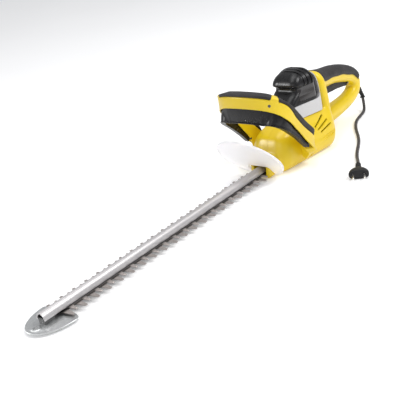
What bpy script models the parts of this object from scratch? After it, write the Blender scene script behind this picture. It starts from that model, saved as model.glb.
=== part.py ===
"""Corded hedge trimmer: housing, motor, gear, reciprocating blades, two handles and a short mains lead.

The frame: +X forward along the blades, +Y to the left, +Z up. The origin lies on the flat base,
under the motor shaft. Driving dimensions are in millimetres and meshes are made in metres.
"""
import math

import bmesh
import bpy
from mathutils import Vector

MM = 0.001
GAP = 0.3                     # clearance between touching pieces
WALL = 3.0                    # housing wall

# Blades: pitch of the teeth, their number a side, and where the first one sits.
PITCH = 25.0
TEETH = 20
FIRST_TOOTH_X = 638.0
STROKE_REST = 5.5             # each blade's offset from mid stroke as drawn
STROKE = 6.2                  # throw of the eccentrics
LOWER_Z = (8.0, 10.0)
UPPER_Z = (10.3, 12.3)
SPINE_HALF = 11.0
LOWER_REACH = 28.0
UPPER_REACH = 23.3
BLADE_END_X = 641.0
BOLT_XS = (205.0, 345.0, 485.0, 610.0)
BOLT_R = 2.0

# Guide bar and tip.
BAR_X = (66.0, 673.0)
BAR_HALF = 8.5
BAR_Z = 12.6
BAR_HEIGHT = 11.2
BAR_SHEET = 1.6
PLATE_X = (640.0, 697.0)
PLATE_HALF = 37.0
PLATE_Z = (4.0, 6.0)

# Gear train: spindle in front of the motor shaft, module one.
PINION_TEETH = 10
GEAR_TEETH = 44
MODULE = 1.0
SPINDLE_X = MODULE * (PINION_TEETH + GEAR_TEETH) / 2
GEAR_Z = (15.0, 21.0)
ECCENTRIC_R = 10.0
ROOT_HALF = 21.0
SPINDLE_PIN_R = 2.4
SPINDLE_STEPS = (
    (4.4, SPINDLE_PIN_R - 0.3), (4.7, SPINDLE_PIN_R), (14.6, SPINDLE_PIN_R), (14.8, 3.8),
    (23.5, 3.8), (23.8, 3.2), (33.0, 3.2),
)

# Motor: radii of the turning pieces and the heights they fill.
SHAFT_R = 2.5
ROTOR_R = 15.5
STACK_Z = (60.0, 104.0)
COMMUTATOR_R = 10.5
COMMUTATOR_Z = (112.0, 126.0)
BEARING_R = 9.5
FAN_R = 27.0
FAN_Z = (45.0, 55.0)

# Hand guard: a round clear plate that leans forward.
GUARD_CENTRE = (163.0, 0.0, 48.5)
GUARD_R = 63.0
GUARD_LEAN = math.radians(41.0)
GUARD_THICK = 3.0

# Body outline, one row per level: z, rear x, front x, rear half width, front half width, corner radius.
BODY_LEVELS = (
    (0.0, -44.0, 106.0, 40.0, 27.0, 15.0),
    (3.0, -49.0, 111.0, 46.0, 32.0, 18.0),
    (12.0, -53.0, 115.0, 53.0, 38.0, 22.0),
    (28.0, -56.0, 114.0, 57.0, 42.0, 25.0),
    (48.0, -56.0, 109.0, 56.0, 40.0, 25.0),
    (62.0, -56.0, 102.0, 52.0, 35.0, 22.0),
    (70.0, -56.0, 92.0, 48.0, 29.0, 18.0),
    (75.0, -56.0, 78.0, 45.0, 26.0, 16.0),
    (79.0, -56.0, 66.0, 43.0, 27.0, 15.0),
)
DECK_Z = 79.0
BASE_LEVELS = (
    (-1.0, -36.0, 98.0, 33.0, 21.0, 9.0),
    (3.0, -36.0, 98.0, 33.0, 21.0, 9.0),
)
SPINE_LEVELS = (
    (70.0, -56.0, -34.0, 45.0, 45.0, 9.0),
    (100.0, -56.0, -34.0, 42.0, 42.0, 9.0),
    (128.0, -55.0, -34.0, 38.0, 38.0, 9.0),
    (143.0, -52.0, -34.0, 33.0, 33.0, 8.0),
    (151.0, -46.0, -34.0, 26.0, 26.0, 5.0),
)
COVER_LEVELS = (
    (79.3, -24.0, 63.0, 36.0, 26.0, 14.0),
    (104.7, -24.0, 60.0, 36.0, 26.0, 14.0),
    (106.5, -24.0, 57.0, 41.0, 27.0, 16.0),
    (118.0, -24.0, 44.0, 40.5, 28.0, 16.0),
    (128.0, -24.0, 30.0, 39.5, 29.0, 16.0),
    (136.0, -24.0, 29.0, 38.5, 29.0, 16.0),
    (138.5, -24.0, 35.0, 38.5, 30.0, 15.0),
    (146.0, -24.0, 33.0, 37.0, 29.0, 15.0),
    (153.0, -22.0, 27.0, 33.0, 26.0, 14.0),
    (158.0, -17.0, 19.0, 27.0, 21.0, 12.0),
    (160.0, -9.0, 9.0, 18.0, 14.0, 8.0),
)
COLLAR_LEVELS = (
    (79.3, -33.7, 58.0, 43.0, 28.0, 14.0),
    (104.7, -33.7, 56.0, 42.0, 28.0, 14.0),
    (128.0, -33.7, 40.0, 38.5, 30.0, 12.0),
    (143.0, -33.7, 40.0, 34.0, 30.0, 12.0),
    (149.0, -33.7, 40.0, 28.0, 26.0, 12.0),
)

# Rear D handle: centre line in the XZ plane with half height and half width at each point.
REAR_PATH = (
    (-40.0, 122.0, 24.0, 28.0), (-62.0, 118.0, 21.0, 23.0), (-95.0, 114.0, 18.0, 18.0),
    (-135.0, 110.0, 17.0, 16.5), (-172.0, 101.0, 17.0, 16.0), (-203.0, 88.5, 15.5, 15.5),
    (-219.0, 71.0, 14.0, 15.0), (-212.0, 53.0, 14.0, 15.0), (-184.0, 42.5, 14.5, 15.5),
    (-140.0, 38.0, 15.5, 17.0), (-100.0, 36.5, 16.0, 20.0), (-62.0, 36.0, 18.0, 26.0),
    (-40.0, 36.0, 20.0, 30.0),
)
GRIP_THICK = 3.0

# Front handle: centre line from the left foot over the crossbar to its middle; mirrored to the right.
FRONT_HALF_PATH = (
    (56.0, 44.0, 22.0), (58.0, 57.0, 37.0), (68.0, 63.0, 55.0), (88.0, 64.0, 80.0), (108.0, 64.0, 104.0),
    (128.0, 63.0, 127.0), (143.0, 56.0, 143.0), (153.0, 40.0, 151.0), (158.0, 18.0, 154.0),
    (159.0, 0.0, 154.5),
)
CORE_HALF = 9.5
CORE_UP = (-12.0, 9.0)
CHANNEL_HALF = 7.5
CHANNEL_TOP = 1.0
STRIP_TOP = 14.5
STRIP_SEAT = 1.3              # the strips' underside above the core
RIB_INDEX = 23                # place on the path where a rib stands up between two strips
SWITCH_BAR_HALF = 5.2
SWITCH_BAR_FIRST = 8          # place on the path where its arms begin
SWITCH_PIVOT = (80.0, 0.0, 51.0)
SWITCH_BAR_DROP = ((0.0, 5.0), (0.18, 9.0), (0.36, 16.0), (0.52, 24.0), (0.68, 29.0), (1.0, 29.0))

# Screws: places, head and shank.
BASE_SCREWS = ((-25.0, 20.0), (-25.0, -20.0), (84.0, 16.2), (84.0, -16.2))
HOUSING_SCREWS = ((-45.0, 112.0, 41.0), (-225.0, 70.0, 15.0), (-140.0, 38.0, 17.0))
TIP_SCREW_X = 663.5
SCREW_HEAD_R = 3.5
SCREW_HEAD = 2.6
SCREW_R = 1.6
SCREW_RECESS = 6.0
SCREW_REACH = 11.0            # how far a case screw passes the parting plane
BOSS_R = 4.6
BOSS_TOP = 5.5
PIVOT_R = 2.0

# Trigger, springs, cord and plug.
TRIGGER_PIVOT = (-181.0, 80.5)
TRIGGER_HALF = 6.2
TRIGGER_SPRING_X = -94.0
TRIGGER_SPRING_Z = (102.1, 121.6)
SPRING_R = 3.0
SPRING_WIRE_R = 0.5
CORD_R = 3.1
GLAND_ROUTE = (
    (-221.0, 0.0, 64.0, 5.2), (-232.0, 0.0, 58.5, 5.0), (-240.5, 0.8, 49.0, 4.7), (-245.0, 2.2, 38.0, 4.4),
)
# Flange at the gland's end: distance back from the end and radius.
GLAND_FLANGE = ((6.5, 4.1), (3.3, 4.0), (3.1, 5.6), (0.9, 5.6), (GAP, 4.6))
CORD_ROUTE = (
    (-246.0, 5.0, 26.5), (-243.4, 7.4, 18.3), (-238.6, 10.6, 11.4), (-231.9, 13.8, 6.4), (-224.3, 16.4, 3.8),
    (-215.6, 18.4, 3.3), (-206.8, 20.3, 3.3), (-198.0, 22.2, 3.3), (-189.2, 24.1, 3.3), (-180.4, 26.1, 3.3),
    (-172.2, 28.5, 3.3), (-163.7, 31.4, 3.3), (-155.5, 35.0, 3.3), (-147.4, 39.0, 3.3), (-139.5, 43.3, 3.3),
    (-131.7, 47.7, 3.3), (-124.0, 52.4, 3.3), (-116.8, 57.0, 3.3), (-109.3, 61.9, 3.3), (-101.8, 67.0, 3.3),
    (-94.4, 72.0, 3.3), (-86.8, 76.9, 3.3), (-79.2, 81.6, 3.3), (-71.8, 85.9, 3.3), (-64.0, 90.2, 3.3),
    (-55.9, 94.3, 3.3), (-47.8, 98.2, 3.3), (-39.6, 102.0, 3.3), (-31.4, 105.6, 3.3), (-23.2, 109.3, 3.3),
    (-15.5, 112.9, 3.3), (-7.4, 116.8, 3.3), (0.6, 120.9, 3.3), (8.5, 125.3, 3.3), (16.2, 129.9, 3.6),
    (23.8, 134.6, 4.6), (31.0, 139.0, 6.0), (38.6, 143.6, 7.5), (46.3, 148.1, 8.6), (54.1, 152.5, 9.0),
)


def clear_scene():
    for old in list(bpy.data.objects):
        bpy.data.objects.remove(old, do_unlink=True)


def material(name, rgb, roughness, metallic=0.0, alpha=1.0):
    mat = bpy.data.materials.get(name)
    if mat:
        return mat
    mat = bpy.data.materials.new(name)
    mat.use_nodes = True
    shader = mat.node_tree.nodes["Principled BSDF"]
    shader.inputs["Base Color"].default_value = (*rgb, 1.0)
    shader.inputs["Roughness"].default_value = roughness
    shader.inputs["Metallic"].default_value = metallic
    shader.inputs["Alpha"].default_value = alpha
    mat.diffuse_color = (*rgb, alpha)
    return mat


def finish_look():
    return {
        "housing": material("yellow_plastic", (0.83, 0.66, 0.02), 0.28),
        "cover": material("black_gloss_plastic", (0.018, 0.018, 0.020), 0.30),
        "grip": material("dark_soft_grip", (0.055, 0.050, 0.052), 0.62),
        "collar": material("silver_plastic", (0.66, 0.66, 0.67), 0.32, 0.35),
        "clear": material("clear_plastic", (0.86, 0.87, 0.90), 0.12, 0.0, 0.45),
        "steel": material("brushed_blade_steel", (0.56, 0.55, 0.54), 0.32, 0.95),
        "bar": material("satin_aluminium", (0.74, 0.74, 0.74), 0.30, 0.9),
        "dark_steel": material("dark_steel", (0.16, 0.16, 0.16), 0.42, 0.8),
        "copper": material("copper", (0.62, 0.30, 0.16), 0.35, 0.95),
        "laminate": material("motor_laminate", (0.24, 0.24, 0.25), 0.45, 0.85),
        "nylon": material("white_nylon", (0.74, 0.73, 0.69), 0.45),
        "cord": material("cord_rubber", (0.085, 0.080, 0.080), 0.55),
        "brass": material("nickel_pin", (0.72, 0.70, 0.66), 0.24, 0.95),
    }


def build_object(name, verts, faces, mat, pivot=(0.0, 0.0, 0.0)):
    mesh = bpy.data.meshes.new(name)
    origin = Vector(pivot)
    mesh.from_pydata([(Vector(v) - origin) * MM for v in verts], [], faces)
    shaped = bmesh.new()
    shaped.from_mesh(mesh)
    bmesh.ops.recalc_face_normals(shaped, faces=shaped.faces)
    shaped.to_mesh(mesh)
    shaped.free()
    obj = bpy.data.objects.new(name, mesh)
    obj.location = origin * MM
    if mat:
        mesh.materials.append(mat)
    bpy.context.scene.collection.objects.link(obj)
    return obj


def smooth_by_angle(obj, degrees=32.0):
    mesh = obj.data
    mesh.polygons.foreach_set("use_smooth", [True] * len(mesh.polygons))
    mesh.set_sharp_from_angle(angle=math.radians(degrees))


def combine(obj, tool, operation="DIFFERENCE"):
    """Apply one exact boolean and remove the tool."""
    modifier = obj.modifiers.new(operation.lower(), "BOOLEAN")
    modifier.object = tool
    modifier.operation = operation
    modifier.solver = "EXACT"
    bpy.context.view_layer.update()
    evaluated = obj.evaluated_get(bpy.context.evaluated_depsgraph_get())
    result = bpy.data.meshes.new_from_object(evaluated)
    obj.modifiers.clear()
    obj.data = result
    bpy.data.objects.remove(tool, do_unlink=True)
    return obj


def loft(name, rings, mat=None, pivot=(0.0, 0.0, 0.0)):
    """Skin a closed body through rings that have the same number of points."""
    count = len(rings[0])
    verts = [point for ring in rings for point in ring]
    faces = []
    for row in range(len(rings) - 1):
        for col in range(count):
            after = (col + 1) % count
            near, far = row * count, (row + 1) * count
            faces.append((near + col, near + after, far + after, far + col))
    faces.append(tuple(range(count)))
    faces.append(tuple(range((len(rings) - 1) * count, len(rings) * count)))
    return build_object(name, verts, faces, mat, pivot)


def prism(name, outline, low, high, mat=None, axis="Z", pivot=(0.0, 0.0, 0.0)):
    """Extrude a flat outline along one axis; the outline's two numbers are the other two axes in order."""
    def place(a, b, c):
        return {"X": (c, a, b), "Y": (a, c, b), "Z": (a, b, c)}[axis]
    rings = [[place(a, b, c) for a, b in outline] for c in (low, high)]
    return loft(name, rings, mat, pivot)


def box(name, x, y, z, mat=None, pivot=(0.0, 0.0, 0.0)):
    outline = ((x[0], y[0]), (x[1], y[0]), (x[1], y[1]), (x[0], y[1]))
    return prism(name, outline, z[0], z[1], mat, "Z", pivot)


def circle(centre, radius, count=32, phase=0.0):
    steps = (phase + 2 * math.pi * k / count for k in range(count))
    return [(centre[0] + radius * math.cos(t), centre[1] + radius * math.sin(t)) for t in steps]


def disc_stack(name, centre, steps, mat=None, count=32, pivot=(0.0, 0.0, 0.0)):
    """A turned piece on a vertical axis from (z, radius) steps."""
    rings = [[(x, y, z) for x, y in circle(centre, radius, count)] for z, radius in steps]
    return loft(name, rings, mat, pivot)


def ring_solid(name, centre, inner, outer, z, mat, count=40):
    """A plain ring on a vertical axis."""
    body = disc_stack(name, centre, ((z[0], outer), (z[1], outer)), mat, count)
    return combine(body, disc_stack("bore", centre, ((z[0] - 1, inner), (z[1] + 1, inner)), None, count))


def turned(name, start, direction, steps, mat, count=24, pivot=(0.0, 0.0, 0.0)):
    """A turned piece along any direction from (distance, radius) steps."""
    along = Vector(direction).normalized()
    side = along.orthogonal().normalized()
    other = along.cross(side)
    rings = []
    for distance, radius in steps:
        centre = Vector(start) + along * distance
        turns = (2 * math.pi * k / count for k in range(count))
        rings.append([tuple(centre + (side * math.cos(t) + other * math.sin(t)) * radius) for t in turns])
    return loft(name, rings, mat, pivot)


def tube(name, stations, mat, count=20):
    """A bent, tapered piece through (x, y, z, radius) stations that run mostly in the XZ plane."""
    path = [Vector(station[:3]) for station in stations]
    rings = []
    for station, centre, along in zip(stations, path, tangents(path)):
        side = along.cross(Vector((0.0, 1.0, 0.0))).normalized()
        other = along.cross(side)
        turns = (2 * math.pi * k / count for k in range(count))
        rings.append([tuple(centre + (side * math.cos(t) + other * math.sin(t)) * station[3]) for t in turns])
    return loft(name, rings, mat)


def drill(obj, start, direction, length, radius, count=16):
    """Cut a round hole."""
    return combine(obj, turned("hole", start, direction, ((0.0, radius), (length, radius)), None, count))


def screw(name, seat, direction, reach, mat):
    """Round headed screw; the head stands on the seat and the shank runs along the direction."""
    steps = ((-SCREW_HEAD, SCREW_HEAD_R - 0.7), (-SCREW_HEAD + 0.5, SCREW_HEAD_R), (-0.1, SCREW_HEAD_R),
             (0.0, SCREW_R), (reach, SCREW_R))
    piece = turned(name, seat, direction, steps, mat, 14)
    smooth_by_angle(piece)
    return piece


def pivot_pin(name, start, direction, length, mat):
    pin = turned(name, start, direction, ((0.0, PIVOT_R), (length, PIVOT_R)), mat, 16)
    smooth_by_angle(pin)
    return pin


def plan_ring(level, grow=0.0, arc=5):
    """A tapered, round cornered plan outline at one level."""
    z, rear, front, rear_half, front_half, radius = level
    rear, front = rear - grow, front + grow
    rear_half, front_half, radius = rear_half + grow, front_half + grow, max(radius + grow, 1.0)
    corners = (
        (front - radius, front_half - radius, 0.0), (rear + radius, rear_half - radius, 0.5),
        (rear + radius, radius - rear_half, 1.0), (front - radius, radius - front_half, 1.5),
    )
    points = []
    for x, y, quarter in corners:
        for k in range(arc + 1):
            turn = math.pi * (quarter + 0.5 * k / arc)
            points.append((x + radius * math.cos(turn), y + radius * math.sin(turn), z))
    return points


def level_loft(name, levels, grow=0.0, mat=None, extend=0.0):
    """Loft plan rings; extend pushes the first and last level outwards along Z."""
    rings = [plan_ring(level, grow) for level in levels]
    rings[0] = [(x, y, z - extend) for x, y, z in rings[0]]
    rings[-1] = [(x, y, z + extend) for x, y, z in rings[-1]]
    return loft(name, rings, mat)


def smooth_path(points, steps):
    """Catmull-Rom curve through points of any dimension."""
    rows = [points[0], *points, points[-1]]
    result = []
    for k in range(1, len(rows) - 2):
        for step in range(steps):
            t = step / steps
            result.append(tuple(
                0.5 * (2 * b + (c - a) * t + (2 * a - 5 * b + 4 * c - d) * t * t
                       + (3 * b - a - 3 * c + d) * t ** 3)
                for a, b, c, d in zip(rows[k - 1], rows[k], rows[k + 1], rows[k + 2])
            ))
    result.append(tuple(points[-1]))
    return result


def tangents(path):
    last = len(path) - 1
    return [(path[min(k + 1, last)] - path[max(k - 1, 0)]).normalized() for k in range(last + 1)]


# ---------------------------------------------------------------- rear handle

def rear_frames():
    path = smooth_path(REAR_PATH, 3)
    centres = [Vector((x, 0.0, z)) for x, z, _, _ in path]
    return [
        (centre, Vector((-t.z, 0.0, t.x)) * -1.0, height, width)
        for centre, t, (_, _, height, width) in zip(centres, tangents(centres), path)
    ]


def rear_ring(frame, grow=0.0, count=20):
    """Oval section of the rear handle at one place on its centre line."""
    centre, outward, height, width = frame
    points = []
    for k in range(count):
        turn = 2 * math.pi * k / count
        c, s = math.cos(turn), math.sin(turn)
        across = math.copysign(abs(c) ** 0.8, c) * (width + grow)
        upward = math.copysign(abs(s) ** 0.8, s) * (height + grow)
        points.append(tuple(centre + outward * upward + Vector((0.0, across, 0.0))))
    return points


def rear_grip(mat):
    """Soft cover over the top of the rear handle."""
    frames = rear_frames()[3:18]
    count = 12
    rings = []
    for index, (centre, outward, height, width) in enumerate(frames):
        at_end = index in (0, len(frames) - 1)
        thick = 1.0 if at_end else GRIP_THICK
        arc = []
        for radius_add in (GAP, thick):
            side = []
            for k in range(count + 1):
                turn = math.pi * k / count
                c, s = math.cos(turn), math.sin(turn)
                across = math.copysign(abs(c) ** 0.8, c) * (width + radius_add)
                upward = abs(s) ** 0.8 * (height + radius_add)
                side.append(tuple(centre + outward * upward + Vector((0.0, across, 0.0))))
            arc.append(side)
        rings.append(arc[1] + arc[0][::-1])
    grip = loft("rear_grip", rings, mat)
    smooth_by_angle(grip, 50.0)
    return grip


# ---------------------------------------------------------------- housing

def housing_solid(grow=0.0, hollow=True):
    body = level_loft("housing", BODY_LEVELS, grow)
    combine(body, level_loft("spine", SPINE_LEVELS, grow), "UNION")
    combine(body, loft("loop", [rear_ring(frame, grow) for frame in rear_frames()]), "UNION")
    combine(body, snout(grow), "UNION")
    if hollow:
        hollow_out(body)
    return body


def guard_x(z, offset=0.0):
    """Where the guard's middle plane is at a height, moved along its normal."""
    return GUARD_CENTRE[0] + (z - GUARD_CENTRE[2]) * math.tan(GUARD_LEAN) + offset / math.cos(GUARD_LEAN)


def snout(grow=0.0):
    back = -GUARD_THICK / 2 - GAP + grow
    low, high, half = 1.5 - grow, 35.0 + grow, 23.0 + grow
    outline = ((90.0, low), (guard_x(low, back), low), (guard_x(high, back), high), (90.0, high + 4.0))
    rings = []
    for y, inset in ((-half, 5.0), (-half + 5.0, 0.0), (half - 5.0, 0.0), (half, 5.0)):
        squeezed = [(x - (inset if x > 100 else 0), y, z + (inset if z < 10 else -inset)) for x, z in outline]
        rings.append(squeezed)
    return loft("snout", rings)


def hollow_out(body):
    inner = [
        (z, rear + WALL, front - WALL, rear_half - WALL, front_half - WALL, radius - WALL)
        for z, rear, front, rear_half, front_half, radius in BODY_LEVELS
    ]
    inner[0] = BASE_LEVELS[0]
    inner[1] = BASE_LEVELS[1]
    inner[-1] = (DECK_Z + 1.0, -30.0, 58.0, 33.0, 22.0, 10.0)
    combine(body, level_loft("cavity", inner, GAP, None, 1.0))
    combine(body, box("blade_way", (60.0, 170.0), (-13.5, 13.5), (5.0, 26.5)))
    combine(body, box("trigger_way", (-188.0, -84.0), (-6.8, 6.8), (70.0, 109.0)))
    combine(body, box("switch_pocket", (-140.0, -66.0), (-9.0, 9.0), (100.0, 122.0)))
    for side in (-1, 1):
        for k in range(3):
            combine(body, vent_cutter(side, k))
        combine(body, box("notch", (50.0, 60.0), sorted((side * 38.0, side * 62.0)), (16.0, 20.0)))
    for x, z, half in HOUSING_SCREWS:
        drill(body, (x, -half - 20.0, z), (0.0, 1.0, 0.0), 20.0 + SCREW_RECESS, SCREW_HEAD_R + 0.7, 20)
        drill(body, (x, -half, z), (0.0, 1.0, 0.0), half + SCREW_REACH, SCREW_R + GAP)
    drill(body, (TRIGGER_PIVOT[0], -12.0, TRIGGER_PIVOT[1]), (0.0, 1.0, 0.0), 24.0, PIVOT_R + GAP)


def housing_screws(looks):
    """Case screws from the right, each in a round recess."""
    for index, (x, z, half) in enumerate(HOUSING_SCREWS, 1):
        seat = SCREW_RECESS - half - GAP
        reach = SCREW_REACH - 1.0 - seat
        screw(f"housing_screw_{index}", (x, seat, z), (0.0, 1.0, 0.0), reach, looks["dark_steel"])


def vent_cutter(side, index):
    """One slanted cooling slot through a side wall."""
    low = Vector((15.0 - 6.0 * index, 0.0, 58.0 - 7.5 * index))
    along = Vector((-31.0, 0.0, 12.0 - 3.5 * index))
    across = Vector((-along.z, 0.0, along.x)).normalized() * 1.1
    outline = [low + across, low - across, low + along - across, low + along + across]
    return prism("vent", [(p.x, p.z) for p in outline], side * 38.0, side * 62.0, None, "Y")


def base_cover(looks):
    levels = [(0.0, *BASE_LEVELS[0][1:]), BASE_LEVELS[1]]
    cover = level_loft("base_cover", levels, 0.0, looks["dark_steel"])
    up = (0.0, 0.0, 1.0)
    for index, (x, y) in enumerate(BASE_SCREWS, 1):
        combine(cover, disc_stack("boss", (x, y), ((1.0, BOSS_R), (BOSS_TOP, BOSS_R)), None, 16), "UNION")
        drill(cover, (x, y, -1.0), up, 1.0 + SCREW_HEAD + 2 * GAP, SCREW_HEAD_R + 0.7)
        drill(cover, (x, y, 1.0), up, 10.0, SCREW_R + GAP)
        screw(f"base_screw_{index}", (x, y, SCREW_HEAD + GAP), up, 14.0, looks["dark_steel"])
    return cover


def make_housings(looks):
    halves = []
    for name, side in (("housing_left", 1), ("housing_right", -1)):
        half = housing_solid()
        half.name = name
        low, high = sorted((side * GAP / 2, side * 120.0))
        combine(half, box("side", (-400.0, 300.0), (low, high), (-50.0, 250.0)), "INTERSECT")
        half.data.materials.clear()
        half.data.materials.append(looks["housing"])
        smooth_by_angle(half)
        halves.append(half)
    return halves


# ---------------------------------------------------------------- motor cover and collar

def make_cover(looks):
    wall = 2.5
    cover = level_loft("motor_cover", COVER_LEVELS, 0.0, looks["cover"])
    inner = [
        (z - wall, rear + wall, front - wall, rear_half - wall, front_half - wall, radius - wall)
        for z, rear, front, rear_half, front_half, radius in COVER_LEVELS
    ]
    inner[0] = (78.0, *inner[0][1:])
    combine(cover, level_loft("cavity", inner))
    for k in range(4):
        x = -17.0 + 8.0 * k
        combine(cover, box("vent", (x, x + 2.4), (-24.0, 24.0), (150.0, 170.0)))
    smooth_by_angle(cover, 24.0)
    return cover


def make_collar(looks):
    collar = level_loft("collar", COLLAR_LEVELS, 0.0, looks["collar"])
    outline = [(-40.0, 70.0), (70.0, 70.0), (70.0, 104.5), (-12.0, 104.5)]
    outline += [(-12.0 - 12.0 * math.sin(t), 116.5 - 12.0 * math.cos(t)) for t in (0.5, 1.0, math.pi / 2)]
    outline += [(-24.0, 160.0), (-40.0, 160.0)]
    combine(collar, prism("side_view", outline, -60.0, 60.0, None, "Y"), "INTERSECT")
    combine(collar, level_loft("room", COVER_LEVELS, GAP, None, 3.0))
    smooth_by_angle(collar)
    return collar


# ---------------------------------------------------------------- front handle

def front_frames(steps=4):
    left = list(FRONT_HALF_PATH)
    full = left + [(x, -y, z) for x, y, z in reversed(left[:-1])]
    path = [Vector(point) for point in smooth_path(full, steps)]
    frames = []
    for centre, along in zip(path, tangents(path)):
        outward = Vector((0.0, 0.0, 1.0)).cross(along).normalized()
        frames.append((centre, outward, along.cross(outward).normalized()))
    return frames


def front_ring(frame, outline):
    centre, outward, upward = frame
    return [tuple(centre + outward * a + upward * b) for a, b in outline]


def front_handle(looks):
    """Channel section loop with two ribs that stand up between the soft strips."""
    frames = front_frames()
    rings = []
    for index, frame in enumerate(frames):
        top = STRIP_TOP if index in rib_indexes(len(frames)) else CORE_UP[1]
        half, low = CORE_HALF, CORE_UP[0]
        outline = (
            (-CHANNEL_HALF, low), (-half, low), (-half, top - 3.0), (-half + 3.0, top),
            (half - 3.0, top), (half, top - 3.0), (half, low), (CHANNEL_HALF, low),
            (CHANNEL_HALF, CHANNEL_TOP), (-CHANNEL_HALF, CHANNEL_TOP),
        )
        rings.append(front_ring(frame, outline))
    handle = loft("front_handle", rings, looks["housing"])
    combine(handle, housing_solid(GAP, False))
    for start, direction in bar_pivots(54.7):
        drill(handle, start, direction, 16.6, PIVOT_R + GAP)
    smooth_by_angle(handle)
    return handle


def bar_pivots(near):
    """Start and direction of the two pins of the switch bar, left one first."""
    x, _, z = SWITCH_PIVOT
    return [((x, side * near, z), (0.0, side, 0.0)) for side in (1.0, -1.0)]


def rib_indexes(count):
    return (RIB_INDEX, RIB_INDEX + 1, count - 1 - RIB_INDEX, count - 2 - RIB_INDEX)


def soft_strip(name, first, last, mat, side=1.0):
    """Soft cover on the upper side of the front handle between two places; side -1 mirrors it."""
    frames = front_frames()[first:last + 1]
    rings = []
    for index, frame in enumerate(frames):
        edge = 2.0 if index in (0, len(frames) - 1) else 0.0
        top, half = STRIP_TOP - edge, CORE_HALF - 0.5
        low = CORE_UP[1] + STRIP_SEAT
        left = [(-half, low), (-half, top - 3.0), (-half + 3.0, top)]
        ring = front_ring(frame, left + [(-across, up) for across, up in reversed(left)])
        rings.append([(x, side * y, z) for x, y, z in ring])
    strip = loft(name, rings, mat)
    smooth_by_angle(strip, 50.0)
    return strip


def switch_bar_drop(along):
    """How far the switch bar hangs below the handle; along runs from 0 at a foot to 1 at the middle."""
    for (near, low), (far, high) in zip(SWITCH_BAR_DROP, SWITCH_BAR_DROP[1:]):
        if along <= far:
            return low + (high - low) * (along - near) / (far - near)
    return SWITCH_BAR_DROP[-1][1]


def front_switch_bar(looks):
    frames = front_frames()
    used = frames[SWITCH_BAR_FIRST:len(frames) - SWITCH_BAR_FIRST]
    middle = (len(used) - 1) / 2
    rings = []
    for index, frame in enumerate(used):
        along = 1.0 - abs(index - middle) / middle
        low = CORE_UP[0] - switch_bar_drop(along)
        top, half = CORE_UP[0] + 2.5, SWITCH_BAR_HALF
        outline = ((-half, low), (-half, top), (half, top), (half, low + 2.0), (half - 2.0, low))
        rings.append(front_ring(frame, outline))
    bar = loft("front_switch_bar", rings, looks["cover"], SWITCH_PIVOT)
    names = ("bar_pivot_left", "bar_pivot_right")
    for name, (start, direction) in zip(names, bar_pivots(55.0)):
        drill(bar, start, direction, 16.0, PIVOT_R + GAP)
        pivot_pin(name, start, direction, 16.0, looks["dark_steel"])
    top = frames[len(frames) // 2][0]
    spring_z = (top.z + CORE_UP[0] + 2.5 + GAP, top.z + CHANNEL_TOP - GAP)
    spring("bar_spring", (top.x, 0.0), spring_z, 3, looks["steel"])
    smooth_by_angle(bar)
    return bar


# ---------------------------------------------------------------- guard

def hand_guard(looks):
    """Round clear plate with a raised rim, cut out for the bar and blades."""
    normal = Vector((math.cos(GUARD_LEAN), 0.0, -math.sin(GUARD_LEAN)))
    half = GUARD_THICK / 2
    steps = ((-half, GUARD_R - 0.8), (-half + 0.8, GUARD_R), (half, GUARD_R), (half + 1.6, GUARD_R - 1.0),
             (half + 1.6, GUARD_R - 2.2), (half, GUARD_R - 3.4))
    guard = turned("hand_guard", GUARD_CENTRE, normal, steps, looks["clear"], 56)
    combine(guard, box("blade_slot", (60.0, 200.0), (-13.5, 13.5), (5.0, 26.5)))
    combine(guard, box("floor_cut", (0.0, 300.0), (-90.0, 90.0), (-20.0, 1.5)))
    smooth_by_angle(guard)
    return guard


# ---------------------------------------------------------------- blades and bar

def blade_outline(reach, base, tip, shift, root_x):
    """Outline of one toothed blade, tip first along the left side and back along the right."""
    left = []
    for k in range(TEETH):
        x = FIRST_TOOTH_X + shift - PITCH * k
        left += [(x + base, SPINE_HALF), (x + tip, reach), (x - tip, reach), (x - base, SPINE_HALF)]
    left += [(root_x + 36.0, SPINE_HALF), (root_x + 28.0, ROOT_HALF), (root_x - 28.0, ROOT_HALF)]
    nose = [(BLADE_END_X + shift + 8.0, -5.0), (BLADE_END_X + shift + 8.0, 5.0)]
    return nose + left + [(x, -y) for x, y in reversed(left)]


def blade(name, z, reach, base, tip, shift, centre_shift, mat):
    """Toothed blade with bolt slots and the yoke opening that its eccentric works in."""
    root = SPINDLE_X + centre_shift
    flat = prism(name, blade_outline(reach, base, tip, shift, root), z[0], z[1], mat)
    for x in BOLT_XS:
        middle, half = x + centre_shift, STROKE + BOLT_R + 0.8
        slot_y = (-BOLT_R - 0.5, BOLT_R + 0.5)
        combine(flat, box("slot", (middle - half, middle + half), slot_y, (z[0] - 1.0, z[1] + 1.0)))
    reach_x, reach_y = 2 * STROKE + ECCENTRIC_R + 0.6, STROKE + ECCENTRIC_R + 0.4
    yoke = box("yoke", (root - reach_x, root + reach_x), (-reach_y, reach_y), (z[0] - 1.0, z[1] + 1.0))
    return combine(flat, yoke)


def guide_bar(looks):
    """Arched sheet bar over the blades."""
    def arch(half, height, low):
        turns = [math.pi * k / 12 for k in range(13)]
        return [(half * math.cos(t), low + height * math.sin(t)) for t in turns]
    outer = arch(BAR_HALF, BAR_HEIGHT, BAR_Z)
    inner = arch(BAR_HALF - BAR_SHEET, BAR_HEIGHT - BAR_SHEET, BAR_Z)
    bar = prism("guide_bar", outer + inner[::-1], BAR_X[0], BAR_X[1], looks["bar"], "X")
    smooth_by_angle(bar)
    return bar


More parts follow.
